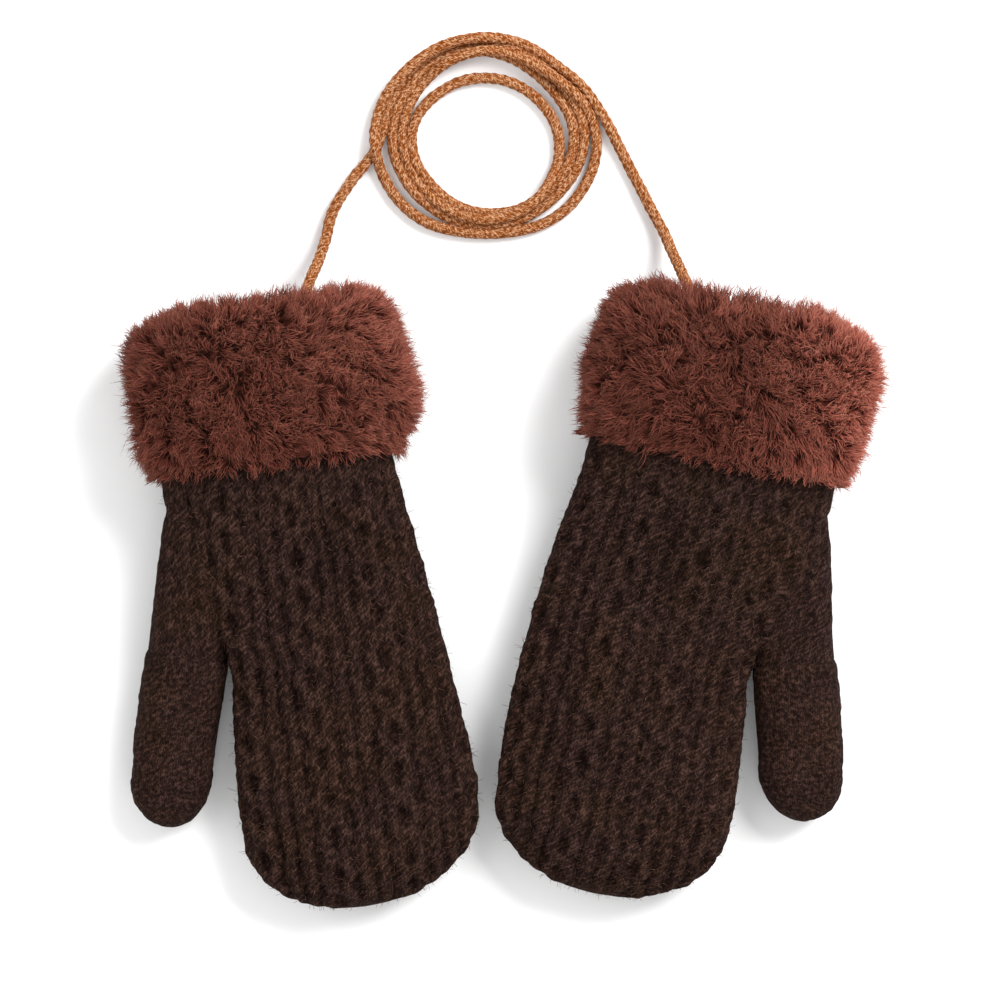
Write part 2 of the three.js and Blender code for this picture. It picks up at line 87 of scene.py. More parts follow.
# Cuff
PILE_DEPTH = 4.2
FIBRES_IN_LOCK = 6
LINING = 2.2
LINING_END = 33.0
WRIST_END = 5.0
HEM = 41.6
CUFF_HALF_WIDTH = 34
# The plush's tips are painted lighter than its own colour: a painted highlight.
TIP_HIGHLIGHT_COLOUR = (0.74, 0.32, 0.22)

COLUMNS = ("v", "near", "far", "floor", "crown")
MITTENS = {
    "left": {
        "origin": (-56.4, 69.5),
        "tilt": 7.6,
        "side": 1,
        # painted_light: how much lighter the plush is painted on its right side, painted light where the
        # key light falls
        "painted_light": 0.36,
        "palm": (
            (5, -30.4, 25.0, 5.8, 23.8),
            (41, -30.4, 25.0, 5.8, 23.8),
            (52, -29.4, 26.2, 2.0, 22.4),
            (62, -27.0, 27.7, 0, 21.0),
            (74, -23.8, 29.5, 0, 20.0),
            (86, -20.5, 31.1, 0, 19.5),
            (98, -21.4, 32.4, 0, 19.5),
            (110, -22.4, 33.8, 0, 19.0),
            (120, -22.9, 34.7, 0, 18.2),
            (127, -22.9, 34.2, 0, 17.4),
        ),
        "cable": ((5, -1.0), (127, -1.0)),
        "palm_tip": (20.4, -1.7),
        "thumb": (
            (42, -28.4, -10.0, 7.6, 19.8),
            (50, -31.8, -11.0, 3.0, 19.8),
            (62, -35.4, -13.8, 0, 18.0),
            (74, -38.5, -17.0, 0, 16.4),
            (86, -41.8, -20.9, 0, 15.4),
            (98, -45.1, -24.7, 0, 15.0),
            (110, -47.8, -28.1, 0, 14.4),
        ),
        "thumb_tip": (12.6, -0.9),
        "crotch": (-20.7, 85.2),
        "cuff": (
            (-1.5, -23.5, 21.5, 5.6, 24.8),
            (1.2, -29.2, 28.0, 1.4, 29.4),
            (5, -33.6, 30.6, 0, 31.0),
            (14, -36.7, 32.2, 0, 31.6),
            (26, -36.2, 34.0, 0, 31.6),
            (35, -36.4, 33.1, 0, 31.0),
            (39.6, -34.2, 30.4, 0.8, 29.2),
        ),
    },
    "right": {
        "origin": (58.9, 68.9),
        "tilt": -12,
        "side": -1,
        # painted_light: how much lighter the plush is painted on its right side, painted light where the
        # key light falls
        "painted_light": 0.85,
        "palm": (
            (5, -29.4, 30.4, 5.8, 23.8),
            (41, -29.4, 30.4, 5.8, 23.8),
            (52, -28.4, 31.4, 2.0, 22.4),
            (62, -26.2, 33.0, 0, 21.0),
            (74, -22.8, 34.4, 0, 20.0),
            (86, -19.1, 35.2, 0, 19.5),
            (98, -20.3, 35.9, 0, 19.5),
            (110, -21.5, 36.0, 0, 19.0),
            (120, -22.2, 35.4, 0, 18.2),
            (126, -22.2, 34.7, 0, 17.4),
        ),
        "cable": ((5, -2.8), (52, -2.6), (74, -1.2), (86, -0.7), (126, -1.0)),
        "palm_tip": (20.4, 0.4),
        "thumb": (
            (42, -27.4, -9.6, 7.6, 19.8),
            (50, -30.8, -10.5, 3.0, 19.8),
            (62, -34.1, -13.0, 0, 18.0),
            (74, -37.1, -16.0, 0, 16.4),
            (86, -40.8, -19.5, 0, 15.4),
            (97, -43.9, -22.8, 0, 15.0),
            (107, -46.5, -25.7, 0, 14.4),
        ),
        "thumb_tip": (12.3, -1.2),
        "crotch": (-19.3, 85.4),
        "cuff": (
            (-1.5, -22.5, 25.0, 5.6, 24.8),
            (1.2, -29.4, 28.8, 1.4, 29.4),
            (5, -33.2, 33.2, 0, 31.0),
            (14, -35.4, 35.4, 0, 31.6),
            (26, -35.1, 35.6, 0, 31.6),
            (35, -34.6, 35.2, 0, 31.0),
            (39.6, -32.0, 34.4, 0.8, 29.2),
        ),
    },
}

# Cord outside its coil, from inside each cuff, over its lip and along the table
CORD_DIAMETER = 2.8
# CORD_LIGHT: the brightest yarn colour, reached on raised strands, partly a painted highlight.
CORD_LIGHT = (0.62, 0.335, 0.18)
CORD_PRESSED = 0.86
CORD_STEP = 0.36
CORD_SIDES = 20
BRAID_LENGTH = 2.3
CORD_LEFT = (
    (-48.0, 63.5, 12.4),
    (-47.4, 69.2, 12.5),
    (-46.1, 74.0, 11.1),
    (-44.2, 79.0, 6.4),
    (-42.6, 84.2, 3.0),
    (-41.3, 90.0, 1.7),
    (-38.9, 94.7, 1.5),
    (-36.0, 98.9, 1.5),
    (-32.3, 103.1, 1.5),
)
CORD_RIGHT = (
    (45.8, 65.4, 12.4),
    (44.9, 70.8, 12.5),
    (43.0, 76.2, 10.4),
    (41.2, 80.6, 5.8),
    (39.4, 85.2, 2.9),
    (36.7, 90.4, 1.7),
    (33.1, 97.4, 1.5),
    (28.6, 106.2, 1.5),
    (25.6, 112.2, 1.5),
)

INTO_COIL = ((-33.8, 102.0, 1.5), (-31.0, 105.0, 1.5))
OUT_OF_COIL = ((18.0, 122.7, 4.0), (22.4, 117.4, 2.6))

# The coil: how far each turn lies from its middle at eight bearings, from the west over the north
COIL_MIDDLE = (-3.6, 109.3)
COIL_TURNS = (
    (25.0, 24.0, 22.3, 21.6, 23.5, 21.6, 21.6, 21.8),
    (23.0, 22.2, 20.9, 19.2, 21.1, 19.9, 18.7, 18.2),
    (18.5, 15.6, 14.2, 14.8, 17.3, 19.3, 20.2, 20.0),
    (20.4, 20.4, 20.6, 21.2, 26.4, 25.8, 23.2, 26.0),
    (27.1, 24.8, 23.7, 23.9),
)
POINTS_PER_TURN = 24
TURN_RISE = 1.9
HOLD = 0.3
SETTLE_ROUNDS = 420


class MittenSizes(bpy.types.PropertyGroup):
    """Sizes and colours of the knit, the plush and the cord."""

    cable_rise: FloatProperty(
        name="Cable rise", description="Height of a cable's strands over the knit", default=1.5 * MM,
        min=0, unit="LENGTH")
    rib_rise: FloatProperty(
        name="Rib rise", description="Height of the plain ribs", default=0.95 * MM, min=0, unit="LENGTH")
    stitch_row: FloatProperty(
        name="Stitch row", description="Height of one row of stitches", default=1.05 * MM, min=0,
        unit="LENGTH")
    pile_length: FloatProperty(
        name="Pile length", description="Length of the plush's locks", default=4.6 * MM, min=0,
        unit="LENGTH")
    pile_count: IntProperty(
        name="Pile count", description="Fibres of plush on one cuff", default=32400, min=100)
    pile_seed: IntProperty(name="Pile seed", description="Seed of the scattered locks", default=7)
    knit_colour: FloatVectorProperty(
        name="Knit colour", description="Colour of the dark yarn", default=(0.030, 0.0155, 0.0115),
        subtype="COLOR", size=3, min=0, max=1)
    pile_colour: FloatVectorProperty(
        name="Plush colour", description="Colour of the plush", default=(0.388, 0.109, 0.075),
        subtype="COLOR", size=3, min=0, max=1)
    cord_colour: FloatVectorProperty(
        name="Cord colour", description="Colour of the cord's yarn", default=(0.265, 0.068, 0.0105),
        subtype="COLOR", size=3, min=0, max=1)


def sizes():
    """The scene's own set of sizes and colours."""
    return bpy.context.scene.mitten_sizes


def step(value, low, high):
    """A smooth step: 0 below low, 1 above high and 3t^2 - 2t^3 between them."""
    t = np.clip((value - low) / (high - low), 0, 1)
    return t * t * (3 - 2 * t)


def waver(a, b, seed, size):
    """A soft uneven field from -1 to 1: the mean of sines over turned and stretched plans."""
    random = np.random.default_rng(seed)
    total = np.zeros(np.broadcast(a, b).shape)
    waves = 9
    for _ in range(waves):
        turn, phase = random.uniform(0, 2 * math.pi, 2)
        pace = 2 * math.pi / (size * random.uniform(0.7, 1.9))
        total = total + np.sin(pace * (a * math.cos(turn) + b * math.sin(turn)) + phase)
    return total / math.sqrt(waves * 2)


def column(rows, name, v):
    """A column of a table of sections at v, a cubic eased between rows; equal rows stay level."""
    table = np.array(rows, float)
    stations, values = table[:, 0], table[:, COLUMNS.index(name)]
    last = len(stations) - 1
    v = np.clip(v, stations[0], stations[-1])
    i = np.clip(np.searchsorted(stations, v, side="right"), 1, last)
    high, low = np.minimum(np.arange(last + 1) + 1, last), np.maximum(np.arange(last + 1) - 1, 0)
    slope = (values[high] - values[low]) / (stations[high] - stations[low])
    span = stations[i] - stations[i - 1]
    t = (v - stations[i - 1]) / span
    start = (2 * t**3 - 3 * t**2 + 1) * values[i - 1] + (t**3 - 2 * t**2 + t) * span * slope[i - 1]
    finish = (3 * t**2 - 2 * t**3) * values[i] + (t**3 - t**2) * span * slope[i]
    return np.where(values[i] == values[i - 1], values[i], start + finish)


def section(rows, tip, v, wall=0.0):
    """Middle, half width, edge height, rise and drop of a tube at v, moved in by a wall.

    Past its last row the tube closes as a quarter ellipse, the tip's depth long.
    """
    end = rows[-1][0]
    depth, drift = tip
    t = np.clip((v - end) / (depth - wall), 0, 1)
    rounded = np.sqrt(1 - t * t)
    near, far, floor, crown = (column(rows, name, np.minimum(v, end)) for name in COLUMNS[1:])
    edge = floor + EDGE_HEIGHT * (crown - floor)
    return {
        "middle": (near + far) / 2 + drift * t,
        "half": ((far - near) / 2 - wall) * rounded,
        "edge": edge,
        "rise": (crown - edge - wall) * rounded**0.9,
        "drop": (edge - floor - wall) * np.minimum(1, 1.6 * rounded),
    }


def oval(part, angle):
    """Points (s, z) of a section's oval at an angle, 0 at the far edge and a quarter turn at the crown."""
    across, up = np.cos(angle), np.sin(angle)
    bend_across = np.sign(across) * np.abs(across) ** (2 / OVAL_POWER)
    bend_up = np.sign(up) * np.abs(up) ** (2 / OVAL_POWER)
    under = -np.minimum(part["drop"], -FLAT_SHARE * part["drop"] * np.minimum(bend_up, 0))
    z = part["edge"] + np.where(up > 0, part["rise"] * bend_up, under)
    return part["middle"] + part["half"] * bend_across, z


def crown_height(part, s):
    """Height of a section's upper side at s, far below the table where s is past its edges."""
    x = np.abs((s - part["middle"]) / np.maximum(part["half"], 0.01))
    arch = np.maximum(1 - x**OVAL_POWER, 0) ** (1 / OVAL_POWER)
    return np.where(x < 1, part["edge"] + part["rise"] * arch, -60.0)


def even_angles(part, count, top_share):
    """Angles round an oval, even along its length, with top_share of them on its upper side."""
    def spread(start, end, number):
        fine = np.linspace(start, end, 900)
        s, z = oval(part, fine)
        length = np.concatenate([[0], np.cumsum(np.hypot(np.diff(s), np.diff(z)))])
        return np.interp(np.linspace(0, length[-1], number, endpoint=False), length, fine)

    top = int(count * top_share)
    low = math.radians(-35)
    return np.concatenate([
        spread(low, math.pi - low, top),
        spread(math.pi - low, 2 * math.pi + low, count - top),
    ])


def stations(start, end, depth, spacing, tip_count):
    """Stations along a tube, evenly spaced and then closing round its tip by equal angles."""
    straight = np.linspace(start, end, max(int((end - start) / spacing), 2))
    angle = np.linspace(0, math.pi / 2, tip_count + 1)[1:]
    angle[-1] -= POLE
    return np.concatenate([straight, end + depth * np.sin(angle)])


def rows_along(v, rows, tip):
    """Length of knit up to station v: the station itself, and the length of an arc round the tip."""
    end, depth = rows[-1][0], tip[0]
    return np.minimum(v, end) + depth * np.arcsin(np.clip((v - end) / depth, 0, 1))


def grid_faces(rows, count, looped=False):
    """Quads of a grid of rings, each ring closed on itself, and the last joined to the first if looped."""
    r = np.arange(rows if looped else rows - 1)[:, None] * count
    following = (r + count) % (rows * count)
    i = np.arange(count)[None, :]
    j = (i + 1) % count
    return np.stack([r + i, r + j, following + j, following + i], -1).reshape(-1, 4)


def make_mesh(name, vertices, faces, side=1, uv=None, tint=None):
    """A mesh object from arrays in metres, its faces turned round where side is -1."""
    faces = np.asarray(faces)
    if side < 0:
        faces = faces[:, ::-1]
    mesh = bpy.data.meshes.new(name)
    corners = faces.reshape(-1)
    mesh.vertices.add(len(vertices))
    mesh.vertices.foreach_set("co", np.asarray(vertices, np.float32).reshape(-1))
    mesh.loops.add(len(corners))
    mesh.loops.foreach_set("vertex_index", corners.astype(np.int32))
    mesh.polygons.add(len(faces))
    mesh.polygons.foreach_set("loop_start", np.arange(0, len(corners), faces.shape[1], dtype=np.int32))
    mesh.update(calc_edges=True)
    mesh.validate()
    if uv is not None:
        layer = mesh.uv_layers.new(name="knit")
        layer.data.foreach_set("uv", np.asarray(uv, np.float32)[corners].reshape(-1))
    if tint is not None:
        colours = mesh.color_attributes.new(name="strand", type="FLOAT_COLOR", domain="POINT")
        colours.data.foreach_set("color", np.asarray(tint, np.float32).reshape(-1))
    mesh.polygons.foreach_set("use_smooth", np.full(len(mesh.polygons), True))
    piece = bpy.data.objects.new(name, mesh)
    bpy.context.scene.collection.objects.link(piece)
    return piece


def place(mitten, s, v, z):
    """Points of a mitten's plan put into the room: turned by its tilt, moved to its origin, in metres."""
    tilt = math.radians(mitten["tilt"])
    x, y = mitten["side"] * s, -v
    return MM * np.stack([
        mitten["origin"][0] + x * math.cos(tilt) - y * math.sin(tilt),
        mitten["origin"][1] + x * math.sin(tilt) + y * math.cos(tilt),
        z,
    ], -1)


def ring_normals(s, v, z):
    """Outward normals of a grid of rings, from the cross product of its two central differences."""
    around = np.stack([np.roll(c, -1, 1) - np.roll(c, 1, 1) for c in (s, v, z)], -1)
    along = np.stack([np.gradient(c, axis=0) for c in (s, v, z)], -1)
    normal = np.cross(along, around)
    return normal / np.maximum(np.linalg.norm(normal, axis=-1, keepdims=True), 1e-9)


def surface_lengths(s, v, z, anchor_s):
    """Length round each ring, measured on the surface, equal to 0 where its upper side passes anchor_s."""
    pace = np.hypot(np.diff(s, axis=1), np.diff(z, axis=1))
    length = np.concatenate([np.zeros((len(s), 1)), np.cumsum(pace, 1)], 1)
    upper = np.arange(s.shape[1]) < s.shape[1] * 0.62
    gap = np.where(upper[None, :], np.abs(s - anchor_s[:, None]), 1e3)
    nearest = np.argmin(gap, 1)
    rows = np.arange(len(s))
    anchor = length[rows, nearest] + (s[rows, nearest] - anchor_s)
    return anchor[:, None] - length


def knit_relief(across, along, pitch):
    """Height of the knit: two strands of a cable part and meet round a hollow, with two ribs between.

    across is the distance from the middle cable and along is the length of knit, both on the surface.
    """
    group = sizes()
    cable_rise, rib_rise = group.cable_rise / MM, group.rib_rise / MM
    across = across + 0.42 * waver(across, along, 3, 15)
    column_number = np.round(across / pitch)
    from_cable = across - column_number * pitch
    shift = 0.37 * column_number * LINK_LENGTH
    turn = 2 * math.pi * (along + shift + 0.8 * waver(column_number * 9, along, 5, 30)) / LINK_LENGTH
    opening = 0.5 - 0.5 * np.cos(turn)
    spread = 1.25 + 1.6 * opening
    width = 1.8 - 0.2 * opening
    away = np.abs(np.abs(from_cable) - spread) / width
    strand = np.sqrt(np.clip(1 - away**2, 0, 1))
    over = 1 + 0.16 * np.sin(turn) * np.sign(from_cable)
    hollow = np.exp(-(from_cable / 1.3) ** 2) * opening
    beside = np.exp(-((np.abs(from_cable) - 5.0) / 0.9) ** 2)
    sway = 0.55 * np.sin(turn * 0.5 + 1.3 * np.sign(from_cable))
    rib_away = np.abs(np.abs(from_cable) + sway - 0.37 * pitch) / 1.8
    rib = np.sqrt(np.clip(1 - rib_away**2, 0, 1)) * (1 + 0.15 * waver(across, along, 8, 9))
    groove = np.exp(-((pitch / 2 - np.abs(from_cable)) / 0.6) ** 2)
    loops = np.sin(2 * math.pi * (along + 0.5 * across) / LOOP_LENGTH + 2 * waver(across, along, 9, 12))
    height = cable_rise * strand * over + rib_rise * rib - 0.2 * hollow - 0.3 * beside - 0.25 * groove
    return height + 0.15 * loops + 0.16 * waver(across, along, 11, 3.1) + 0.3 * waver(across, along, 12, 26)


def closed_tube(mitten, part, outer, inner):
    """Vertices, faces, knit places and tint of a wall: outer rings to the tip, and back inside it.

    The tint's green is the relief's painted shade: 0, darkest, in its grooves and 1 on its highest strands.
    """
    s, v, z = (np.concatenate([a, b[::-1]]) for a, b in zip(outer[:3], inner[:3]))
    across = np.concatenate([outer[3], inner[3][::-1]])
    along = rows_along(v, mitten[part], mitten[f"{part}_tip"])
    uv = np.stack([mitten["side"] * across, along], -1)
    tint = np.zeros((*s.shape, 4))
    tint[: len(outer[4]), :, 1] = outer[4]
    tint[..., 3] = 1
    faces = grid_faces(len(s), s.shape[1], looped=True)
    return place(mitten, s, v, z).reshape(-1, 3), faces, uv.reshape(-1, 2) * 0.01, tint.reshape(-1, 4)


def blend_crowns(own, other, reach):
    """The smooth higher of two heights, which blends within reach and leaves what lies far beneath."""
    gap = np.clip(1 - np.abs(own - other) / reach, 0, 1)
    lifted = np.maximum(own, other) + reach * gap**3 / 6
    return np.where(other - own > reach, own, lifted)


def crotch_blend(mitten, part, s, v, z):
    """Heights blended into the crown of the mitten's other part, more tightly near the crotch."""
    other = section(mitten[part], mitten[f"{part}_tip"], v)
    wide, less = CROTCH_BLEND
    reach = wide - less * step(v, 70, mitten["crotch"][1])
    return blend_crowns(z, crown_height(other, s), reach)


def cable_at(mitten, v):
    """Where the middle cable runs at each ring."""
    table = np.array(mitten["cable"])
    return np.interp(v[:, 0], table[:, 0], table[:, 1])


def pitch_at(v):
    """Distance between two cables, which widens from the wrist to the crotch."""
    return PITCH_AT_WRIST + (PITCH_AT_TIP - PITCH_AT_WRIST) * step(v, 42, 85)


def part_angles(mitten, part):
    """Angles of a ring's points round the palm or the thumb."""
    at, count, share = (
        (100.0, PALM_POINTS, PALM_TOP_SHARE) if part == "palm" else (86.0, THUMB_POINTS, THUMB_TOP_SHARE))
    return even_angles(section(mitten[part], mitten[f"{part}_tip"], np.array(at)), count, share)[None, :]


def palm_rings(mitten):
    """The palm's outer rings: an oval at each station, blended into the gusset and raised by the knit."""
    rows, tip = mitten["palm"], mitten["palm_tip"]
    v = np.concatenate([[WRIST_END, 20.0], stations(36, rows[-1][0], tip[0], 0.56, 44)])
    angles = part_angles(mitten, "palm")
    v = v[:, None]
    inset = 0.5 * step(v, 42, RELIEF_FULL)
    shape = section(rows, tip, v)
    shape["half"] = np.maximum(shape["half"] - inset, 0.05)
    s, z = oval(shape, angles)
    upper = np.sin(angles) > 0
    in_gusset = (v > mitten["thumb"][0][0] + 1) & (v < mitten["crotch"][1])
    z = np.where(upper & in_gusset, crotch_blend(mitten, "thumb", s, v, z), z)
    v = np.broadcast_to(v, s.shape)
    across = surface_lengths(s, v, z, cable_at(mitten, v))
    return raise_knit(s, v, z, across, rows_along(v, rows, tip), np.sin(angles), shape["half"])


def raise_knit(s, v, z, across, along, up, half, fade=1.0):
    """Rings moved out along their normals by the knit's relief, which fades towards the table."""
    strength = step(v, RELIEF_START, RELIEF_FULL) * step(up, -0.6, 0.7) * step(half, 2, 20) * fade
    height = knit_relief(across, along, pitch_at(v)) * strength
    normal = ring_normals(s, v, z)
    s, v, z = (c + normal[..., k] * height for k, c in enumerate((s, v, z)))
    # Painted shade: lower relief gives a lower value, which the knit's colour uses to darken its grooves.
    relief_shading = np.clip(PLAIN_RELIEF_SHADING + (height - 0.5 * strength) / RELIEF_RANGE, 0, 1)
    return s, v, np.maximum(z, 0.0), across, relief_shading


def gusset_rings(mitten, start, end_slant):
    """The thumb tube's rings from start to its seam, or from its seam to the tip, cut on the slant."""
    rows, tip = mitten["thumb"], mitten["thumb_tip"]
    angles = part_angles(mitten, "thumb")
    crotch_s, crotch_v = mitten["crotch"]
    if end_slant:
        v = np.linspace(start, GUSSET_END, 78)[:, None]
    else:
        v = stations(start, rows[-1][0], tip[0], 0.5, 34)[:, None]
    shape = section(rows, tip, v)
    s, _ = oval(shape, angles)
    seam = crotch_v + (s - crotch_s) * math.tan(THUMB_LEAN)
    if end_slant:
        share = np.clip((v - SLANT_START) / (GUSSET_END - SLANT_START), 0, 1)
        v = v + share * (seam + SEAM_OVERLAP / 2 - GUSSET_END)
        tucked = step(v - seam, -0.6, SEAM_OVERLAP / 2)
    else:
        share = np.clip((SLANT_END - v) / (SLANT_END - THUMB_START), 0, 1)
        v = v + share * (seam - SEAM_OVERLAP / 2 - THUMB_START)
        tucked = 1 - step(v - seam, -SEAM_OVERLAP / 2, 0.6)
    shape = section(rows, tip, v)
    shape["half"] = shape["half"] - SEAM_TUCK * tucked
    shape["rise"] = shape["rise"] - SEAM_TUCK * tucked
    return shape, v, angles


def gusset_wall(mitten):
    """The gusset between wrist and thumb, knitted as the palm is, its ribs fading above the seam."""
    shape, v, angles = gusset_rings(mitten, 42.4, True)
    shape["half"] = shape["half"] - 0.5 * step(v, 42, RELIEF_FULL)
    s, z = oval(shape, angles)
    upper = np.sin(angles) > 0
    z = np.where(upper & (v > RELIEF_FULL), crotch_blend(mitten, "palm", s, v, z), z)
    middle = shape["middle"][:, 0]
    across = surface_lengths(s, v, z, middle) + (middle - cable_at(mitten, v))[:, None]
    fade = 1 - step(v, 66, 83)
    outer = raise_knit(s, v, z, across, v, np.sin(angles), shape["half"], fade)
    return outer, wall_inside(mitten["thumb"], mitten["thumb_tip"], angles, across, v[0, 0], v[-1])


def wall_inside(rows, tip, angles, across, start, end):
    """The inner side of a wall: the same ovals moved in, on a few plain rings."""
    steps = np.linspace(0, 1, INNER_RINGS)[:, None]
    v = start + (end - start) * steps
    s, z = oval(section(rows, tip, v, KNIT_WALL), angles)
    v = np.broadcast_to(v, s.shape)
    picked = across[np.round(np.linspace(0, len(across) - 1, INNER_RINGS)).astype(int)]
    return s, v, z, picked


def palm_wall(mitten):
    """The palm and back of the mitten, closed round the fingertips."""
    rows, tip = mitten["palm"], mitten["palm_tip"]
    outer = palm_rings(mitten)
    angles = part_angles(mitten, "palm")
    v = np.concatenate([[WRIST_END], stations(14, rows[-1][0], tip[0] - KNIT_WALL, 10, 9)])[:, None]
    s, z = oval(section(rows, tip, v, KNIT_WALL), angles)
    v = np.broadcast_to(v, s.shape)
    picked = outer[3][np.round(np.linspace(0, len(outer[3]) - 1, len(v))).astype(int)]
    return outer, (s, v, z, picked)


def thumb_wall(mitten):
    """The plain thumb, from its slanted seam to its round tip."""
    rows, tip = mitten["thumb"], mitten["thumb_tip"]
    shape, v, angles = gusset_rings(mitten, THUMB_START, False)
    s, z = oval(shape, angles)
    across = surface_lengths(s, v, z, shape["middle"][:, 0])
    height = 0.16 * waver(across, v, 21, 2.6) + 0.3 * waver(across, v, 22, 15)
    height = height * step(np.sin(angles), -0.45, 0.15) * step(shape["half"], 0.2, 3)
    normal = ring_normals(s, v, z)
    s, v, z = (c + normal[..., k] * height for k, c in enumerate((s, v, z)))
    # Painted shade from the thumb's small relief.
    relief_shading = np.clip(PLAIN_RELIEF_SHADING + 0.5 * height, 0, 1)
    outer = (s, v, np.maximum(z, 0.0), across, relief_shading)
    end = rows[-1][0] + (tip[0] - KNIT_WALL) * math.cos(POLE)
    return outer, wall_inside(rows, tip, angles, across, v[0], end)


def link(tree, output, target):
    """Joins an output socket to an input."""
    tree.links.new(output, target)


def math_node(tree, operation, a, b=None, clamp=False):
    """A Math node whose inputs are numbers or other nodes' outputs."""
    node = tree.nodes.new("ShaderNodeMath")
    node.operation = operation
    node.use_clamp = clamp
    for socket, value in zip(node.inputs, (a, b)):
        if value is None:
            continue
        if isinstance(value, (int, float)):
            socket.default_value = value
        else:
            link(tree, value, socket)
    return node.outputs[0]


def new_group(name, inputs, outputs):
    """An empty shader node group with named inputs, (name, kind, default), and outputs, (name, kind)."""
    tree = bpy.data.node_groups.new(name, "ShaderNodeTree")
    for label, kind, default in inputs:
        socket = tree.interface.new_socket(label, in_out="INPUT", socket_type=kind)
        if default is not None:
            socket.default_value = default
    for label, kind in outputs:
        tree.interface.new_socket(label, in_out="OUTPUT", socket_type=kind)
    return tree, tree.nodes.new("NodeGroupInput").outputs, tree.nodes.new("NodeGroupOutput").inputs


def noise(tree, place_on, scale, detail=2.0, roughness=0.5):
    """A Noise Texture's value at a place."""
    node = tree.nodes.new("ShaderNodeTexNoise")
    node.inputs["Scale"].default_value = scale
    node.inputs["Detail"].default_value = detail
    node.inputs["Roughness"].default_value = roughness
    link(tree, place_on, node.inputs["Vector"])
    return node.outputs[0]


def multiply(tree, a, b):
    """Two colours multiplied."""
    node = tree.nodes.new("ShaderNodeMix")
    node.data_type = "RGBA"
    node.blend_type = "MULTIPLY"
    node.inputs["Factor"].default_value = 1
    link(tree, a, node.inputs["A"])
    link(tree, b, node.inputs["B"])
    return node.outputs["Result"]


def strand_parts(tree):
    """The channels of the strand attribute: red is the tone, green the relief's painted shade, the cord's
    strand height or the length.
    """
    strand = tree.nodes.new("ShaderNodeVertexColor")
    strand.layer_name = "strand"
    parts = tree.nodes.new("ShaderNodeSeparateColor")
    link(tree, strand.outputs["Color"], parts.inputs[0])
    return parts.outputs


def knit_place(tree):
    """The place on the knit: across it and along it."""
    uv = tree.nodes.new("ShaderNodeUVMap")
    uv.uv_map = "knit"
    return uv.outputs[0]


def object_place(tree):
    """The place in the room."""
    return tree.nodes.new("ShaderNodeTexCoord").outputs["Object"]


def stitch_group():
    """Knit stitches: two legs lean together in each wale, and every leg has its own height and shade."""
    name = "Knit stitches"
    if name in bpy.data.node_groups:
        return bpy.data.node_groups[name]
    tree, given, result = new_group(
        name,
        (("Place", "NodeSocketVector", None), ("Wale", "NodeSocketFloat", 1.5),
         ("Row", "NodeSocketFloat", 1.05), ("Lean", "NodeSocketFloat", 1.1),
         ("Slant", "NodeSocketFloat", 1.0), ("Fine", "NodeSocketFloat", 0.33),
         ("Uneven", "NodeSocketFloat", 0.6)),
        (("Height", "NodeSocketFloat"), ("Shade", "NodeSocketFloat")))

    def calc(operation, a, b=None, clamp=False):
        return math_node(tree, operation, a, b, clamp)

    parts = tree.nodes.new("ShaderNodeSeparateXYZ")
    link(tree, given["Place"], parts.inputs[0])
    places = []
    for axis, scales in ((0, (38, 120)), (1, (31, 140))):
        place_on = calc("MULTIPLY", parts.outputs[axis], 100.0)
        for scale, share in zip(scales, (1.5, 0.7)):
            wander = calc("MULTIPLY", calc(
                "SUBTRACT", noise(tree, given["Place"], scale, 1), 0.5), given["Uneven"])
            place_on = calc("ADD", place_on, calc("MULTIPLY", wander, share))
        places.append(place_on)
    across, along = places
    wale = calc("DIVIDE", across, given["Wale"])
    inside = calc("ABSOLUTE", calc("SUBTRACT", calc("FRACT", wale), 0.5))
    lean = calc("MULTIPLY", inside, calc("MULTIPLY", given["Lean"], 2.0))
    row = calc("ADD", calc("DIVIDE", along, given["Row"]), lean)
    cell = tree.nodes.new("ShaderNodeCombineXYZ")
    link(tree, calc("FLOOR", calc("MULTIPLY", wale, 2.0)), cell.inputs[0])
    link(tree, calc("FLOOR", row), cell.inputs[1])
    own = tree.nodes.new("ShaderNodeTexWhiteNoise")
    own.noise_dimensions = "2D"
    link(tree, cell.outputs[0], own.inputs["Vector"])
    leg = calc("POWER", calc("SINE", calc("MULTIPLY", calc("FRACT", row), math.pi)), 0.8)
    across_leg = calc("SUBTRACT", calc("MULTIPLY", inside, 4.0), 1.0)
    ridge = calc("SUBTRACT", 1.0, calc(
        "MULTIPLY", calc("MULTIPLY", across_leg, across_leg), 0.8), clamp=True)
    taller = calc("ADD", calc("MULTIPLY", own.outputs["Value"], 0.55), 0.45)
    yarn = calc("MULTIPLY", calc("MULTIPLY", leg, ridge), taller)
    fleck_place = tree.nodes.new("ShaderNodeCombineXYZ")
    link(tree, calc("MULTIPLY", calc(
        "SUBTRACT", across, calc("MULTIPLY", along, given["Slant"])), given["Fine"]),
        fleck_place.inputs[0])
    link(tree, calc("MULTIPLY", calc(
        "ADD", calc("MULTIPLY", across, given["Slant"]), along), 1.15), fleck_place.inputs[1])
    flecks = noise(tree, fleck_place.outputs[0], 1.0, 2, 0.6)
    fleck = calc("MULTIPLY", calc("SUBTRACT", flecks, 0.36), 3.4, clamp=True)
    height = calc("ADD", calc("MULTIPLY", yarn, 0.45), calc(
        "MULTIPLY", calc("POWER", fleck, 1.3), 0.6))
    link(tree, height, result["Height"])
    link(tree, own.outputs["Value"], result["Shade"])
    return tree


def use_group(tree, group, **values):
    """A node of a group with its own values."""
    node = tree.nodes.new("ShaderNodeGroup")
    node.node_tree = group
    for label, value in values.items():
        node.inputs[label].default_value = value
    return node


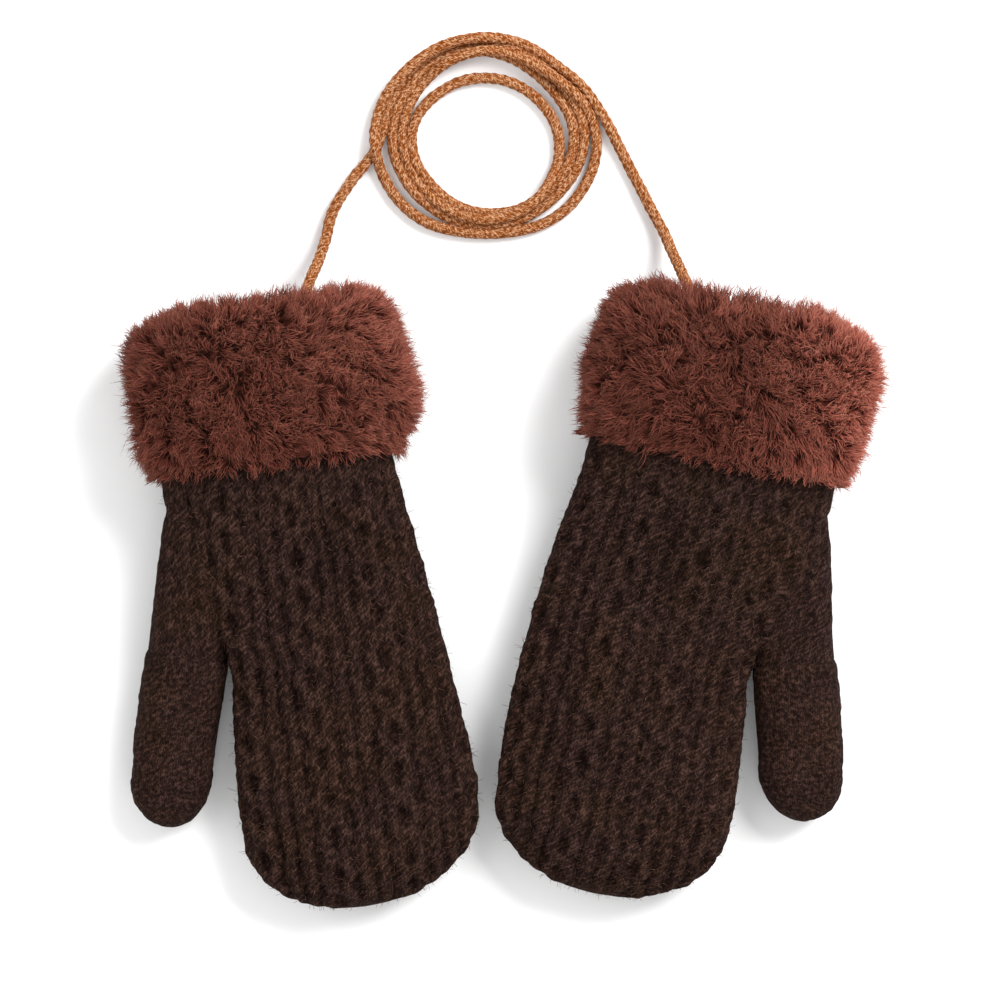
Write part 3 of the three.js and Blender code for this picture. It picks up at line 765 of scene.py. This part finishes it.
def ramp(tree, value, stops):
    """A colour ramp over a value, with stops (position, colour)."""
    node = tree.nodes.new("ShaderNodeValToRGB")
    link(tree, value, node.inputs[0])
    elements = node.color_ramp.elements
    while len(elements) < len(stops):
        elements.new(0.5)
    for element, (position, colour) in zip(elements, stops):
        element.position = position
        element.color = (*colour, 1)
    return node.outputs[0]


def shade(colour, factor):
    """A colour made lighter or darker by a factor."""
    return tuple(min(channel * factor, 1.0) for channel in colour)


def fresh_material(name, roughness):
    """A material with its Principled shader, tree and Bump node."""
    material = bpy.data.materials.new(name)
    material.use_nodes = True
    tree = material.node_tree
    shader = tree.nodes["Principled BSDF"]
    shader.inputs["Roughness"].default_value = roughness
    shader.inputs["Specular IOR Level"].default_value = 0.3
    bump = tree.nodes.new("ShaderNodeBump")
    link(tree, bump.outputs[0], shader.inputs["Normal"])
    return material, tree, shader, bump


def knit_material(name, wale, row, slant, fine, depth):
    """Dark yarn: stitches as bump, with painted shade between them and in the relief's grooves, lighter
    flecks and soft worn patches.
    """
    if name in bpy.data.materials:
        return bpy.data.materials[name]
    colour = tuple(sizes().knit_colour)
    material, tree, shader, bump = fresh_material(name, 0.9)
    shader.inputs["Specular IOR Level"].default_value = 0.04
    stitches = use_group(tree, stitch_group(), Wale=wale, Row=row, Slant=slant, Fine=fine)
    link(tree, knit_place(tree), stitches.inputs["Place"])
    # Colour by stitch height: darker where it lies low between the legs, painted shade, and lighter on the
    # yarn's own flecks.
    yarn = ramp(tree, stitches.outputs["Height"], (
        (0.05, shade(colour, 0.35)), (0.38, shade(colour, 0.95)), (0.85, shade(colour, 2.6))))
    fleck = ramp(tree, stitches.outputs["Shade"], (
        (0.0, (0.55, 0.52, 0.5)), (0.6, (0.95, 0.93, 0.92)), (1.0, (1.0, 1.0, 1.0))))
    # Painted shade: the knit is darkened where its relief lies low, in grooves and hollows.
    groove = ramp(tree, strand_parts(tree)["Green"], (
        (0.05, (0.48, 0.46, 0.44)), (0.35, (0.74, 0.73, 0.72)), (0.75, (1.0, 1.0, 1.0))))
    cast = ramp(tree, noise(tree, object_place(tree), 75), (
        (0.35, (0.88, 0.86, 0.95)), (0.5, (0.94, 0.92, 0.94)), (0.65, (0.98, 0.95, 0.88))))
    varied = multiply(tree, multiply(tree, multiply(tree, yarn, fleck), groove), cast)
    link(tree, varied, shader.inputs["Base Color"])
    bump.inputs["Distance"].default_value = depth
    link(tree, stitches.outputs["Height"], bump.inputs["Height"])
    return material


def strand_material(name, stops, roughness, sheen):
    """Fibres coloured along their length by the strand attribute, each by its own tone."""
    if name in bpy.data.materials:
        return bpy.data.materials[name]
    material, tree, shader, bump = fresh_material(name, roughness)
    shader.inputs["Specular IOR Level"].default_value = 0.06
    shader.inputs["Sheen Weight"].default_value = sheen
    shader.inputs["Sheen Roughness"].default_value = 0.5
    shader.inputs["Sheen Tint"].default_value = (1.0, 0.55, 0.4, 1)
    parts = strand_parts(tree)
    along = ramp(tree, parts["Green"], stops)
    tone = ramp(tree, parts["Red"], (
        (0.0, (0.22, 0.19, 0.18)), (0.35, (0.45, 0.43, 0.42)), (1.0, (1.0, 1.0, 1.0))))
    link(tree, multiply(tree, along, tone), shader.inputs["Base Color"])
    link(tree, noise(tree, object_place(tree), 2600), bump.inputs["Height"])
    bump.inputs["Distance"].default_value = 0.00012
    return material


def cuff_sections(mitten, sink):
    """The cuff's closed profile: outside, hem, over the knit, into the mitten and back to the lip.

    The outside lies sink inside the reach of the pile. Each row is v and a section's five sizes.
    """
    rows = mitten["cuff"]
    wrist = section(mitten["palm"], mitten["palm_tip"], np.array(WRIST_END))

    def moved(v, wall):
        return (v, wrist["middle"], wrist["half"] - wall, wrist["edge"], wrist["rise"] - wall,
                wrist["drop"] - wall)

    outside = []
    for v in np.concatenate([[-1.5, -0.4, 1.2, 3.0], np.linspace(5, 35, 14), [37.4, 39.6]]):
        part = section(rows, (1, 0), np.array(v))
        lip, hem = 1 - step(v, -1.5, 8), step(v, 24, 39.6)
        outside.append((
            v + sink * (0.8 * lip - 0.75 * hem), part["middle"], part["half"] - sink, part["edge"],
            part["rise"] - sink, part["drop"]))
    inner = KNIT_WALL + SEAM_GAP
    rest = [
        moved(HEM - 0.7 * sink, -1.2), moved(HEM - 0.9 * sink, -SEAM_GAP),
        moved(WRIST_END - SEAM_GAP, -SEAM_GAP),
        moved(WRIST_END - SEAM_GAP, inner), moved(LINING_END - 1, inner),
        moved(LINING_END, inner + LINING / 2), moved(LINING_END - 1, inner + LINING),
        moved(20, inner + LINING), moved(5, inner + LINING), moved(2.6, inner + LINING - 1.2),
    ]
    return np.array(outside + rest, float), len(outside)


def cuff_rings(mitten, sink, count):
    """Rings of the cuff's profile, with how many of them are its outside."""
    rows, outside = cuff_sections(mitten, sink)
    angles = even_angles(section(mitten["cuff"], (1, 0), np.array(20.0)), count, 0.62)[None, :]
    keys = ("middle", "half", "edge", "rise", "drop")
    shape = {key: rows[:, k + 1][:, None] for k, key in enumerate(keys)}
    s, z = oval(shape, angles)
    v = np.broadcast_to(rows[:, :1], s.shape).copy()
    return s, v, z, angles, outside


def strands(root, normal, tip, width, tone, bend):
    """Fibres as closed, tapering three-sided spikes that bend once between root and tip.

    Each centre line is moved at its middle by the vector bend times its length. Returns vertices,
    faces and the strand attribute, with the tone and the share of the length.
    """
    cuts = np.array([0.0, 0.55])
    thick = np.array([1.0, 0.85])
    chord = tip - root
    length = np.linalg.norm(chord, axis=1, keepdims=True)
    lift = bend * length

    def curve(t):
        return root + chord * t + lift * (4 * t * (1 - t))

    side = np.cross(chord, normal)
    side /= np.maximum(np.linalg.norm(side, axis=1, keepdims=True), 1e-9)
    other = np.cross(side, chord / np.maximum(length, 1e-9))
    rings = []
    for t, k in zip(cuts, thick):
        for corner in range(3):
            turn = 2 * math.pi * corner / 3
            rings.append(curve(t) + width[:, None] * k * (side * math.cos(turn) + other * math.sin(turn)))
    points = np.stack(rings + [curve(1.0)], 1)
    per = points.shape[1]
    local = []
    for ring in range(len(cuts) - 1):
        for a in range(3):
            b = (a + 1) % 3
            low, high = 3 * ring, 3 * (ring + 1)
            local += [(low + a, high + a, low + b), (low + b, high + a, high + b)]
    last = 3 * (len(cuts) - 1)
    local += [(last + a, per - 1, last + (a + 1) % 3) for a in range(3)] + [(0, 1, 2)]
    faces = np.array(local)[None] + (np.arange(len(root)) * per)[:, None, None]
    share = np.append(np.repeat(cuts, 3), 1.0)
    tint = np.zeros((len(root), per, 4))
    tint[..., 0] = tone[:, None]
    tint[..., 1] = share[None]
    tint[..., 3] = 1
    return points.reshape(-1, 3), faces.reshape(-1, 3), tint.reshape(-1, 4)


def scatter(s, v, z, normal, wanted, random, weight=None):
    """Random places on a grid of rings, as likely everywhere by area and weight."""
    corner = np.stack([s, v, z], -1)
    a, b = corner[:-1], np.roll(corner, -1, 1)[:-1]
    c, d = corner[1:], np.roll(corner, -1, 1)[1:]
    area = np.linalg.norm(np.cross(b - a, c - a), axis=-1)
    if weight is not None:
        area = area * weight
    share = np.cumsum(area.reshape(-1))
    cell = np.searchsorted(share, random.uniform(0, share[-1], wanted))
    cell = np.minimum(cell, area.size - 1)
    p, q = random.uniform(0, 1, (2, wanted))[..., None]

    def mixed(w, x, y, u):
        pick = [field.reshape(-1, 3)[cell] for field in (w, x, y, u)]
        return (pick[0] * (1 - p) + pick[1] * p) * (1 - q) + (pick[2] * (1 - p) + pick[3] * p) * q

    place_on = mixed(a, b, c, d)
    turned = np.roll(normal, -1, 1)
    facing = mixed(normal[:-1], turned[:-1], normal[1:], turned[1:])
    return place_on, facing / np.linalg.norm(facing, axis=1, keepdims=True)


def tangents(normal):
    """Two directions at right angles to each normal: along the cuff (v) and across it."""
    along = np.array([0.0, 1.0, 0.0]) - normal * normal[:, 1:2]
    size = np.linalg.norm(along, axis=1, keepdims=True)
    along = np.where(size > 0.05, along / np.maximum(size, 1e-6), np.array([0.0, 0.0, -1.0]))
    across = np.cross(normal, along)
    return along, across / np.maximum(np.linalg.norm(across, axis=1, keepdims=True), 1e-9)


def pile(mitten, seed, count, length):
    """Locks of plush on a cuff: each holds a few fibres, and they lean outwards in soft swirls. Their tone
    carries painted light, lighter towards the right side and at the lip.
    """
    random = np.random.default_rng(seed)
    locks = count // FIBRES_IN_LOCK
    s, v, z, angles, outside = cuff_rings(mitten, PILE_DEPTH, 120)
    normal = ring_normals(s, v, z)[: outside + 1]
    s, v, z = s[: outside + 1], v[: outside + 1], z[: outside + 1]
    above = np.broadcast_to(np.sin(angles) > -0.5, s.shape)[:-1]
    centre, facing = scatter(s, v, z, normal, locks, random, np.where(above, 1.0, 0.4))
    along, across = tangents(facing)
    middle = (s.max() + s.min()) / 2
    outward = np.stack([(centre[:, 0] - middle) / CUFF_HALF_WIDTH, (centre[:, 1] - 19) / 21], -1)
    turn = 3.2 * waver(centre[:, 0], centre[:, 1] + 0.8 * centre[:, 2], seed + 1, 19)
    swirl = np.stack([np.cos(turn), np.sin(turn)], -1)
    turn = 3.6 * waver(centre[:, 0], centre[:, 1] + centre[:, 2], seed + 6, 5.5)
    curl = np.stack([np.cos(turn), np.sin(turn)], -1)
    lean = 0.42 * outward + 0.34 * swirl + 0.38 * curl + random.normal(0, 0.2, (locks, 2))
    flat = np.clip(facing[:, 2:], 0, 1)
    lean = lean * (1 + 0.7 * flat)
    lean_s, lean_v = lean[:, :1], lean[:, 1:]
    hem = step(centre[:, 1:2], 30, 38)
    lean_v = lean_v * (1 - hem) + (0.35 + 0.25 * lean_v) * hem
    s_axis = np.array([1.0, 0.0, 0.0]) - facing * facing[:, :1]
    direction = facing + lean_s * s_axis + lean_v * along
    direction /= np.linalg.norm(direction, axis=1, keepdims=True)
    own = 1 + 0.13 * waver(centre[:, 0], centre[:, 1], seed + 2, 11) + random.normal(0, 0.1, locks)
    own = np.clip(own, 0.6, 1.35) * (1 - 0.25 * hem[:, 0]) * (1 + 0.22 * flat[:, 0])
    # Painted light: the tone rises towards the cuff's right side, a little at its other edge and at the
    # lip, where light falls from the upper right. The waver and noise are the plush's own uneven tone.
    right = mitten["side"] * (centre[:, 0] - middle) / CUFF_HALF_WIDTH
    lip = 1 - step(centre[:, 1], -1, 14)
    right = np.maximum(right, 0) * (0.35 + 0.65 * right) + 0.1 * step(-right, 0.6, 1)
    painted_light = mitten["painted_light"] * right + 0.16 * lip
    tone = 0.31 + painted_light + 0.11 * waver(centre[:, 0], centre[:, 1] + centre[:, 2], seed + 3, 8)
    tone = tone + random.normal(0, 0.09, locks)

    pick = np.repeat(np.arange(locks), FIBRES_IN_LOCK)
    total = len(pick)
    spread = random.normal(0, 0.36, (total, 2))
    offset = along[pick] * spread[:, :1] + across[pick] * spread[:, 1:]
    root = centre[pick] + offset
    reach = length * own[pick] * random.uniform(0.78, 1.1, total)
    stray = random.normal(0, 0.09, (total, 3))
    stray[random.uniform(0, 1, total) < 0.05] *= 3.5
    way = direction[pick] + stray
    tip = centre[pick] + offset * random.uniform(0.2, 1.3, (total, 1)) + way * reach[:, None]
    tip[:, 2] = np.maximum(tip[:, 2], 0.25)
    root[:, 2] = np.maximum(root[:, 2], 0.4)
    shade_of = np.clip(tone[pick] + random.normal(0, 0.06, total), 0, 1)
    width = random.uniform(0.07, 0.145, total)
    bend = facing[pick] * random.uniform(0, 0.14, (total, 1)) + random.normal(0, 0.09, (total, 3))
    return root, facing[pick], tip, width, shade_of, bend


def to_room(mitten, points):
    """Plan points, an array of (s, v, z), put into the room."""
    return place(mitten, points[:, 0], points[:, 1], points[:, 2])


def cubic(a, b, c, d, t):
    """The Catmull-Rom cubic from b to c at t, which leans on their neighbours a and d."""
    return 0.5 * (
        2 * b + (c - a) * t + (2 * a - 5 * b + 4 * c - d) * t**2 + (3 * b - a - 3 * c + d) * t**3)


def spline(points, spacing):
    """A smooth line through points (Catmull-Rom), resampled at an even spacing."""
    p = np.array(points, float)
    p = np.concatenate([[2 * p[0] - p[1]], p, [2 * p[-1] - p[-2]]])
    t = np.linspace(0, 1, 24, endpoint=False)[:, None]
    parts = [cubic(a, b, c, d, t) for a, b, c, d in zip(p[:-3], p[1:-2], p[2:-1], p[3:])]
    line = np.concatenate(parts + [p[-2:-1]])
    length = np.concatenate([[0], np.cumsum(np.linalg.norm(np.diff(line, axis=0), axis=1))])
    even = np.linspace(0, length[-1], int(length[-1] / spacing) + 1)
    return np.stack([np.interp(even, length, line[:, k]) for k in range(3)], -1)


def coil_points():
    """Points of the coil's turns: a cubic through the distances at its bearings, rising a little."""
    reach = np.concatenate(COIL_TURNS)
    padded = np.concatenate([reach[:1], reach, reach[-1:]])
    bearings = len(COIL_TURNS[0])
    place_in = np.arange(0, len(reach) - 1 + 1e-6, bearings / POINTS_PER_TURN)
    k = np.minimum(place_in.astype(int), len(reach) - 2)
    t = place_in - k
    radius = cubic(*(padded[k + i] for i in range(4)), t)
    angle = math.pi - place_in * 2 * math.pi / bearings
    rise = CORD_DIAMETER / 2 + TURN_RISE * place_in / bearings
    return list(np.stack([
        COIL_MIDDLE[0] + radius * np.cos(angle), COIL_MIDDLE[1] + radius * np.sin(angle), rise], -1))


def settle(line, rounds, diameter):
    """A line let down on the table: it sinks, keeps a diameter from its other turns and stays smooth.

    Its plan is held near the one given, so turns that cross or crowd there come to lie on each other.
    """
    line = line.copy()
    count = len(line)
    ends = np.minimum(np.arange(count), np.arange(count)[::-1])
    free = step(ends, 26, 40)
    apart = np.abs(np.arange(count)[:, None] - np.arange(count)[None, :]) > 5
    home = line[:, :2].copy()
    for _ in range(rounds):
        line[:, 2] -= 0.05 * free
        gap = line[:, None, :] - line[None, :, :]
        away = np.sqrt((gap ** 2).sum(-1))
        touch = apart & (away < diameter)
        short = np.where(touch, (diameter - away) / np.maximum(away, 0.2), 0)
        push = (gap * short[..., None]).sum(1) * 0.32
        line[:, 2] += np.clip(push[:, 2], -0.3, 0.3) * free
        line[:, :2] += np.clip(push[:, :2], -0.1, 0.1) * free[:, None]
        line[:, :2] += (home - line[:, :2]) * HOLD
        smooth = (np.roll(line, 1, 0) + np.roll(line, -1, 0)) / 2
        line[1:-1] += (smooth - line)[1:-1] * 0.3 * free[1:-1, None]
        line[:, 2] = np.maximum(line[:, 2], diameter / 2)
    return line


def cord_line():
    """The whole cord: from inside the left cuff, round its coil and into the right cuff."""
    points = [*CORD_LEFT[:-2], *INTO_COIL, *coil_points()[1:], *OUT_OF_COIL, *CORD_RIGHT[::-1]]
    return settle(spline(points, 1.4), SETTLE_ROUNDS, CORD_DIAMETER * CORD_PRESSED)


def cord_tube(line):
    """A braided tube along a line: a ring at each step, raised where its crossing strands pass."""
    fine = spline(line[::3], CORD_STEP)
    count = CORD_SIDES
    ahead = np.gradient(fine, axis=0)
    ahead /= np.linalg.norm(ahead, axis=1, keepdims=True)
    side = np.cross(ahead, np.array([0.0, 0.0, 1.0]))
    side /= np.linalg.norm(side, axis=1, keepdims=True)
    up = np.cross(side, ahead)
    length = np.arange(len(fine))[:, None] * CORD_STEP
    turn = (np.arange(count) * 2 * math.pi / count)[None, :]
    plait = 2 * math.pi * length / BRAID_LENGTH
    one = np.abs(np.sin(2.0 * turn + plait / 2))
    two = np.abs(np.sin(2.0 * turn - plait / 2 + 0.6))
    radius = CORD_DIAMETER / 2 - 0.14 + 0.15 * np.maximum(one, two) ** 1.5 - 0.1 * (1 - one * two)
    radius = radius + 0.06 * waver(length, turn * 2, 31, 7) + 0.03 * waver(length, turn * 3, 32, 1.6)
    points = fine[:, None] + radius[..., None] * (
        side[:, None] * np.cos(turn)[..., None] + up[:, None] * np.sin(turn)[..., None])
    points[..., 2] = np.maximum(points[..., 2], 0.0)
    uv = np.stack(np.broadcast_arrays(turn / (2 * math.pi) * 8.8, length), -1).reshape(-1, 2) * 0.016
    faces = grid_faces(len(fine), count)
    vertices = np.concatenate([points.reshape(-1, 3), fine[:1], fine[-1:]]) * MM
    first, last = len(points) * count, len(points) * count + 1
    i = np.arange(count)
    j = (i + 1) % count
    low = (len(fine) - 1) * count
    caps = np.concatenate([
        np.stack([j, i, np.full(count, first), np.full(count, first)], -1),
        np.stack([low + i, low + j, np.full(count, last), np.full(count, last)], -1),
    ])
    tint = np.zeros((len(vertices), 4))
    # Green: how high the braid's strands stand, which the material paints lighter. This gives painted
    # highlight on them and painted shade between them.
    tint[:one.size, 1] = np.maximum(one, two).reshape(-1)
    tint[:, 3] = 1
    return vertices, faces, caps[:, :3], np.concatenate([uv, uv[:1], uv[-1:]]), tint, fine * MM


def plait_material():
    """The cord's yarn: painted highlight on its raised strands and painted shade between them, with fine
    diagonal stitches.
    """
    colour = tuple(sizes().cord_colour)
    material, tree, shader, bump = fresh_material("Cord yarn", 0.75)
    shader.inputs["Specular IOR Level"].default_value = 0.05
    stitches = use_group(
        tree, stitch_group(), Wale=1.76, Row=1.6, Lean=1.5, Slant=0.7, Fine=0.5, Uneven=0.3)
    link(tree, knit_place(tree), stitches.inputs["Place"])

    def scaled(value, factor, base):
        return math_node(tree, "ADD", math_node(tree, "MULTIPLY", value, factor), base)

    # Painted light: raised strands are coloured lighter, and the gaps between strands and stitch legs
    # darker. The stitch Shade is the yarn's own uneven tone.
    mixed = math_node(
        tree, "MULTIPLY", scaled(strand_parts(tree)["Green"], 0.45, 0.5),
        scaled(stitches.outputs["Height"], 1.1, 0.12))
    mixed = math_node(tree, "MULTIPLY", mixed, scaled(stitches.outputs["Shade"], 0.35, 0.8))
    yarn = ramp(tree, mixed, (
        (0.06, shade(colour, 0.22)), (0.38, colour), (0.8, CORD_LIGHT)))
    link(tree, yarn, shader.inputs["Base Color"])
    link(tree, stitches.outputs["Height"], bump.inputs["Height"])
    bump.inputs["Distance"].default_value = 0.0003
    return material


def dress(piece, material, slot, *nodes):
    """Gives a piece its material and its body, and hides the CAD nodes that it stands for."""
    piece.data.materials.append(material)
    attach(piece, "root")
    if nodes:
        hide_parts(*nodes)
    return piece


def join(parts):
    """One set of arrays from several bodies of vertices, faces, knit places and tints."""
    start, joined = 0, ([], [], [], [])
    for points, quads, uv, tint in parts:
        for kept, new in zip(joined, (points, quads + start, uv, tint)):
            kept.append(new)
        start += len(points)
    return tuple(np.concatenate(arrays) for arrays in joined)


class MITTENS_OT_stage(bpy.types.Operator):
    """Lay out the pale table, the soft lights and the overhead camera."""

    bl_idname = "mittens.stage"
    bl_label = "Stage"

    def execute(self, context):
        scene = context.scene
        camera = bpy.data.objects.new("overhead_camera", bpy.data.cameras.new("overhead_camera"))
        scene.collection.objects.link(camera)
        view_width, middle = 240 * MM, (-0.5 * MM, 21.5 * MM)
        camera.data.lens = 180
        camera.data.sensor_width = 36
        focus_height = 9 * MM
        camera.location = (*middle, focus_height + view_width * camera.data.lens / 36)
        camera.data.clip_end = 20
        scene.camera = camera
        mesh = bpy.data.meshes.new("table")
        reach = 6.0
        mesh.from_pydata(
            [(-reach, -reach, -0.0003), (reach, -reach, -0.0003), (reach, reach, -0.0003),
             (-reach, reach, -0.0003)], [], [(0, 1, 2, 3)])
        table = bpy.data.objects.new("table", mesh)
        scene.collection.objects.link(table)
        material = bpy.data.materials.new("Pale table")
        material.use_nodes = True
        shader = material.node_tree.nodes["Principled BSDF"]
        shader.inputs["Base Color"].default_value = (0.93, 0.93, 0.93, 1)
        shader.inputs["Roughness"].default_value = 0.9
        mesh.materials.append(material)
        for name, spot, size, power in (
                ("key_light", (0.95, 0.9, 1.15), 0.8, 36), ("fill_light", (-1.1, 0.2, 1.2), 1.2, 8),
                ("front_light", (0.1, -1.1, 1.1), 1.2, 6)):
            light = bpy.data.objects.new(name, bpy.data.lights.new(name, "AREA"))
            light.data.size = size
            light.data.energy = power
            light.location = spot
            aim = np.array(spot) - np.array([0, 0.02, 0])
            light.rotation_euler = (
                math.atan2(math.hypot(aim[0], aim[1]), aim[2]), 0, math.atan2(aim[1], aim[0]) + math.pi / 2)
            scene.collection.objects.link(light)
        world = bpy.data.worlds.new("soft_room")
        world.use_nodes = True
        world.node_tree.nodes["Background"].inputs["Color"].default_value = (1, 1, 1, 1)
        world.node_tree.nodes["Background"].inputs["Strength"].default_value = 0.68
        scene.world = world
        scene.view_settings.view_transform = "Standard"
        return {"FINISHED"}


class MITTENS_OT_cord(bpy.types.Operator):
    """Lay the braided cord from one cuff, round its coil and into the other."""

    bl_idname = "mittens.cord"
    bl_label = "Cord"

    def execute(self, context):
        vertices, quads, caps, uv, tint, path = cord_tube(cord_line())
        triangles = np.concatenate([quads[:, [0, 1, 2]], quads[:, [0, 2, 3]], caps])
        piece = make_mesh("cord", vertices, triangles[:, ::-1], uv=uv, tint=tint)
        dress(piece, plait_material(), "cord", "cord_left", "cord_coil", "cord_right")
        return {"FINISHED"}


class MITTENS_OT_hands(bpy.types.Operator):
    """Knit the hands and the thumbs of both mittens."""

    bl_idname = "mittens.hands"
    bl_label = "Hands and thumbs"

    def execute(self, context):
        hand_knit = knit_material(
            "Hand knit", 1.6, sizes().stitch_row / MM, 0.9, 0.36, 0.0004)
        thumb_knit = knit_material("Thumb knit", 1.15, 0.95, 0.25, 0.75, 0.0003)
        for name, mitten in MITTENS.items():
            walls = [
                closed_tube(mitten, "palm", *palm_wall(mitten)),
                closed_tube(mitten, "thumb", *gusset_wall(mitten))]
            vertices, faces, uv, tint = join(walls)
            hand = make_mesh(f"knit_hand_{name}", vertices, faces, mitten["side"], uv, tint)
            dress(hand, hand_knit, "knit", f"hand_{name}_upper", f"hand_{name}_under")
            vertices, faces, uv, tint = closed_tube(mitten, "thumb", *thumb_wall(mitten))
            thumb = make_mesh(f"knit_thumb_{name}", vertices, faces, mitten["side"], uv, tint)
            dress(thumb, thumb_knit, "knit", f"thumb_{name}")
        return {"FINISHED"}


class MITTENS_OT_cuffs(bpy.types.Operator):
    """Turn the plush cuffs back over the wrists and cover them with locks of pile."""

    bl_idname = "mittens.cuffs"
    bl_label = "Plush cuffs"

    def execute(self, context):
        group = sizes()
        colour = tuple(group.pile_colour)
        # Along each fibre: darker towards the root, painted shade deep in the pile, and lighter towards the
        # tip, a painted highlight.
        locks = strand_material("Plush pile", (
            (0.0, shade(colour, 0.55)), (0.35, shade(colour, 0.84)), (0.72, shade(colour, 1.08)),
            (1.0, TIP_HIGHLIGHT_COLOUR)), 0.8, 0.06)
        # The cuff's shell under the locks is coloured darker than the plush: painted shade of the deep pile
        # between the locks.
        shaded_backing = strand_material("Plush backing", (
            (0.0, shade(colour, 0.5)), (1.0, shade(colour, 0.7))), 0.95, 0.03)
        for name, mitten in MITTENS.items():
            s, v, z, _, outside = cuff_rings(mitten, PILE_DEPTH, 128)
            lumps = 0.5 * waver(s, v + z, group.pile_seed, 7) * (np.arange(len(s)) < outside)[:, None]
            normal = ring_normals(s, v, z)
            s, v, z = (c + normal[..., k] * lumps for k, c in enumerate((s, v, z)))
            z = np.maximum(z, 0.05)
            vertices = place(mitten, s, v, z).reshape(-1, 3)
            # A fixed tone and length share that give the shell its dark colour: painted shade.
            tint = np.tile([0.35, 0.5, 0, 1], (len(vertices), 1))
            cuff = make_mesh(
                f"plush_cuff_{name}", vertices, grid_faces(len(s), s.shape[1], True), mitten["side"],
                tint=tint)
            dress(cuff, shaded_backing, "plush", f"cuff_{name}")
            seed = group.pile_seed + (3 if name == "right" else 0)
            root, facing, tip, width, tone, bend = pile(
                mitten, seed, group.pile_count, group.pile_length / MM)
            half = len(root) // 2
            for letter, part in (("a", slice(0, half)), ("b", slice(half, None))):
                points, faces, colours = strands(
                    root[part], facing[part], tip[part], width[part], tone[part], bend[part])
                points[:, 2] = np.maximum(points[:, 2], 0.1)
                tuft = make_mesh(
                    f"pile_{name}_{letter}", to_room(mitten, points), faces, -mitten["side"], tint=colours)
                dress(tuft, locks, "plush", f"cuff_{name}")
        return {"FINISHED"}


class MITTENS_OT_fuzz(bpy.types.Operator):
    """Scatter short stray fibres over the knit."""

    bl_idname = "mittens.fuzz"
    bl_label = "Stray fibres"

    def execute(self, context):
        colour = tuple(sizes().knit_colour)
        fibres = strand_material("Stray yarn", (
            (0.0, shade(colour, 1.6)), (1.0, shade(colour, 4.4))), 0.8, 0.3)
        for name, mitten in MITTENS.items():
            random = np.random.default_rng(40 + mitten["side"])
            s, v, z = palm_rings(mitten)[:3]
            keep = v[:, 0] > HEM
            s, v, z = s[keep], v[keep], z[keep]
            normal = ring_normals(s, v, z)
            above = np.where(z[:-1] > 2.0, 1.0, 0.0)
            root, facing = scatter(s, v, z, normal, 1900, random, above)
            stray = random.normal(0, 1, root.shape)
            tip = root + facing * random.uniform(0.2, 0.7, (len(root), 1)) + stray * 0.75
            width = random.uniform(0.03, 0.055, len(root))
            points, faces, colours = strands(
                root, facing, tip, width, random.uniform(0.3, 1, len(root)), facing * 0.2)
            points[:, 2] = np.maximum(points[:, 2], 0.05)
            piece = make_mesh(
                f"stray_yarn_{name}", to_room(mitten, points), faces, -mitten["side"], tint=colours)
            dress(piece, fibres, "knit")
        return {"FINISHED"}


class MITTENS_PT_panel(bpy.types.Panel):
    """The sizes of the mittens and the steps that make them."""

    bl_idname = "MITTENS_PT_panel"
    bl_label = "Baby mittens"
    bl_space_type = "VIEW_3D"
    bl_region_type = "UI"
    bl_category = "Mittens"

    def draw(self, context):
        for name in MittenSizes.__annotations__:
            self.layout.prop(context.scene.mitten_sizes, name)
        for operator in STEPS:
            self.layout.operator(operator.bl_idname)


STEPS = (MITTENS_OT_stage, MITTENS_OT_cord, MITTENS_OT_hands, MITTENS_OT_cuffs, MITTENS_OT_fuzz)
CLASSES = (MittenSizes, *STEPS, MITTENS_PT_panel)


def register():
    """Registers the classes and gives each scene its sizes."""
    for item in CLASSES:
        bpy.utils.register_class(item)
    bpy.types.Scene.mitten_sizes = PointerProperty(type=MittenSizes)


def unregister():
    """Takes the classes and the sizes away again."""
    del bpy.types.Scene.mitten_sizes
    for item in reversed(CLASSES):
        bpy.utils.unregister_class(item)


def main():
    """Makes the stage and every piece."""
    register()
    bpy.ops.mittens.stage()
    bpy.ops.mittens.cord()
    bpy.ops.mittens.hands()
    bpy.ops.mittens.cuffs()
    bpy.ops.mittens.fuzz()


if __name__ == "__main__":
    main()
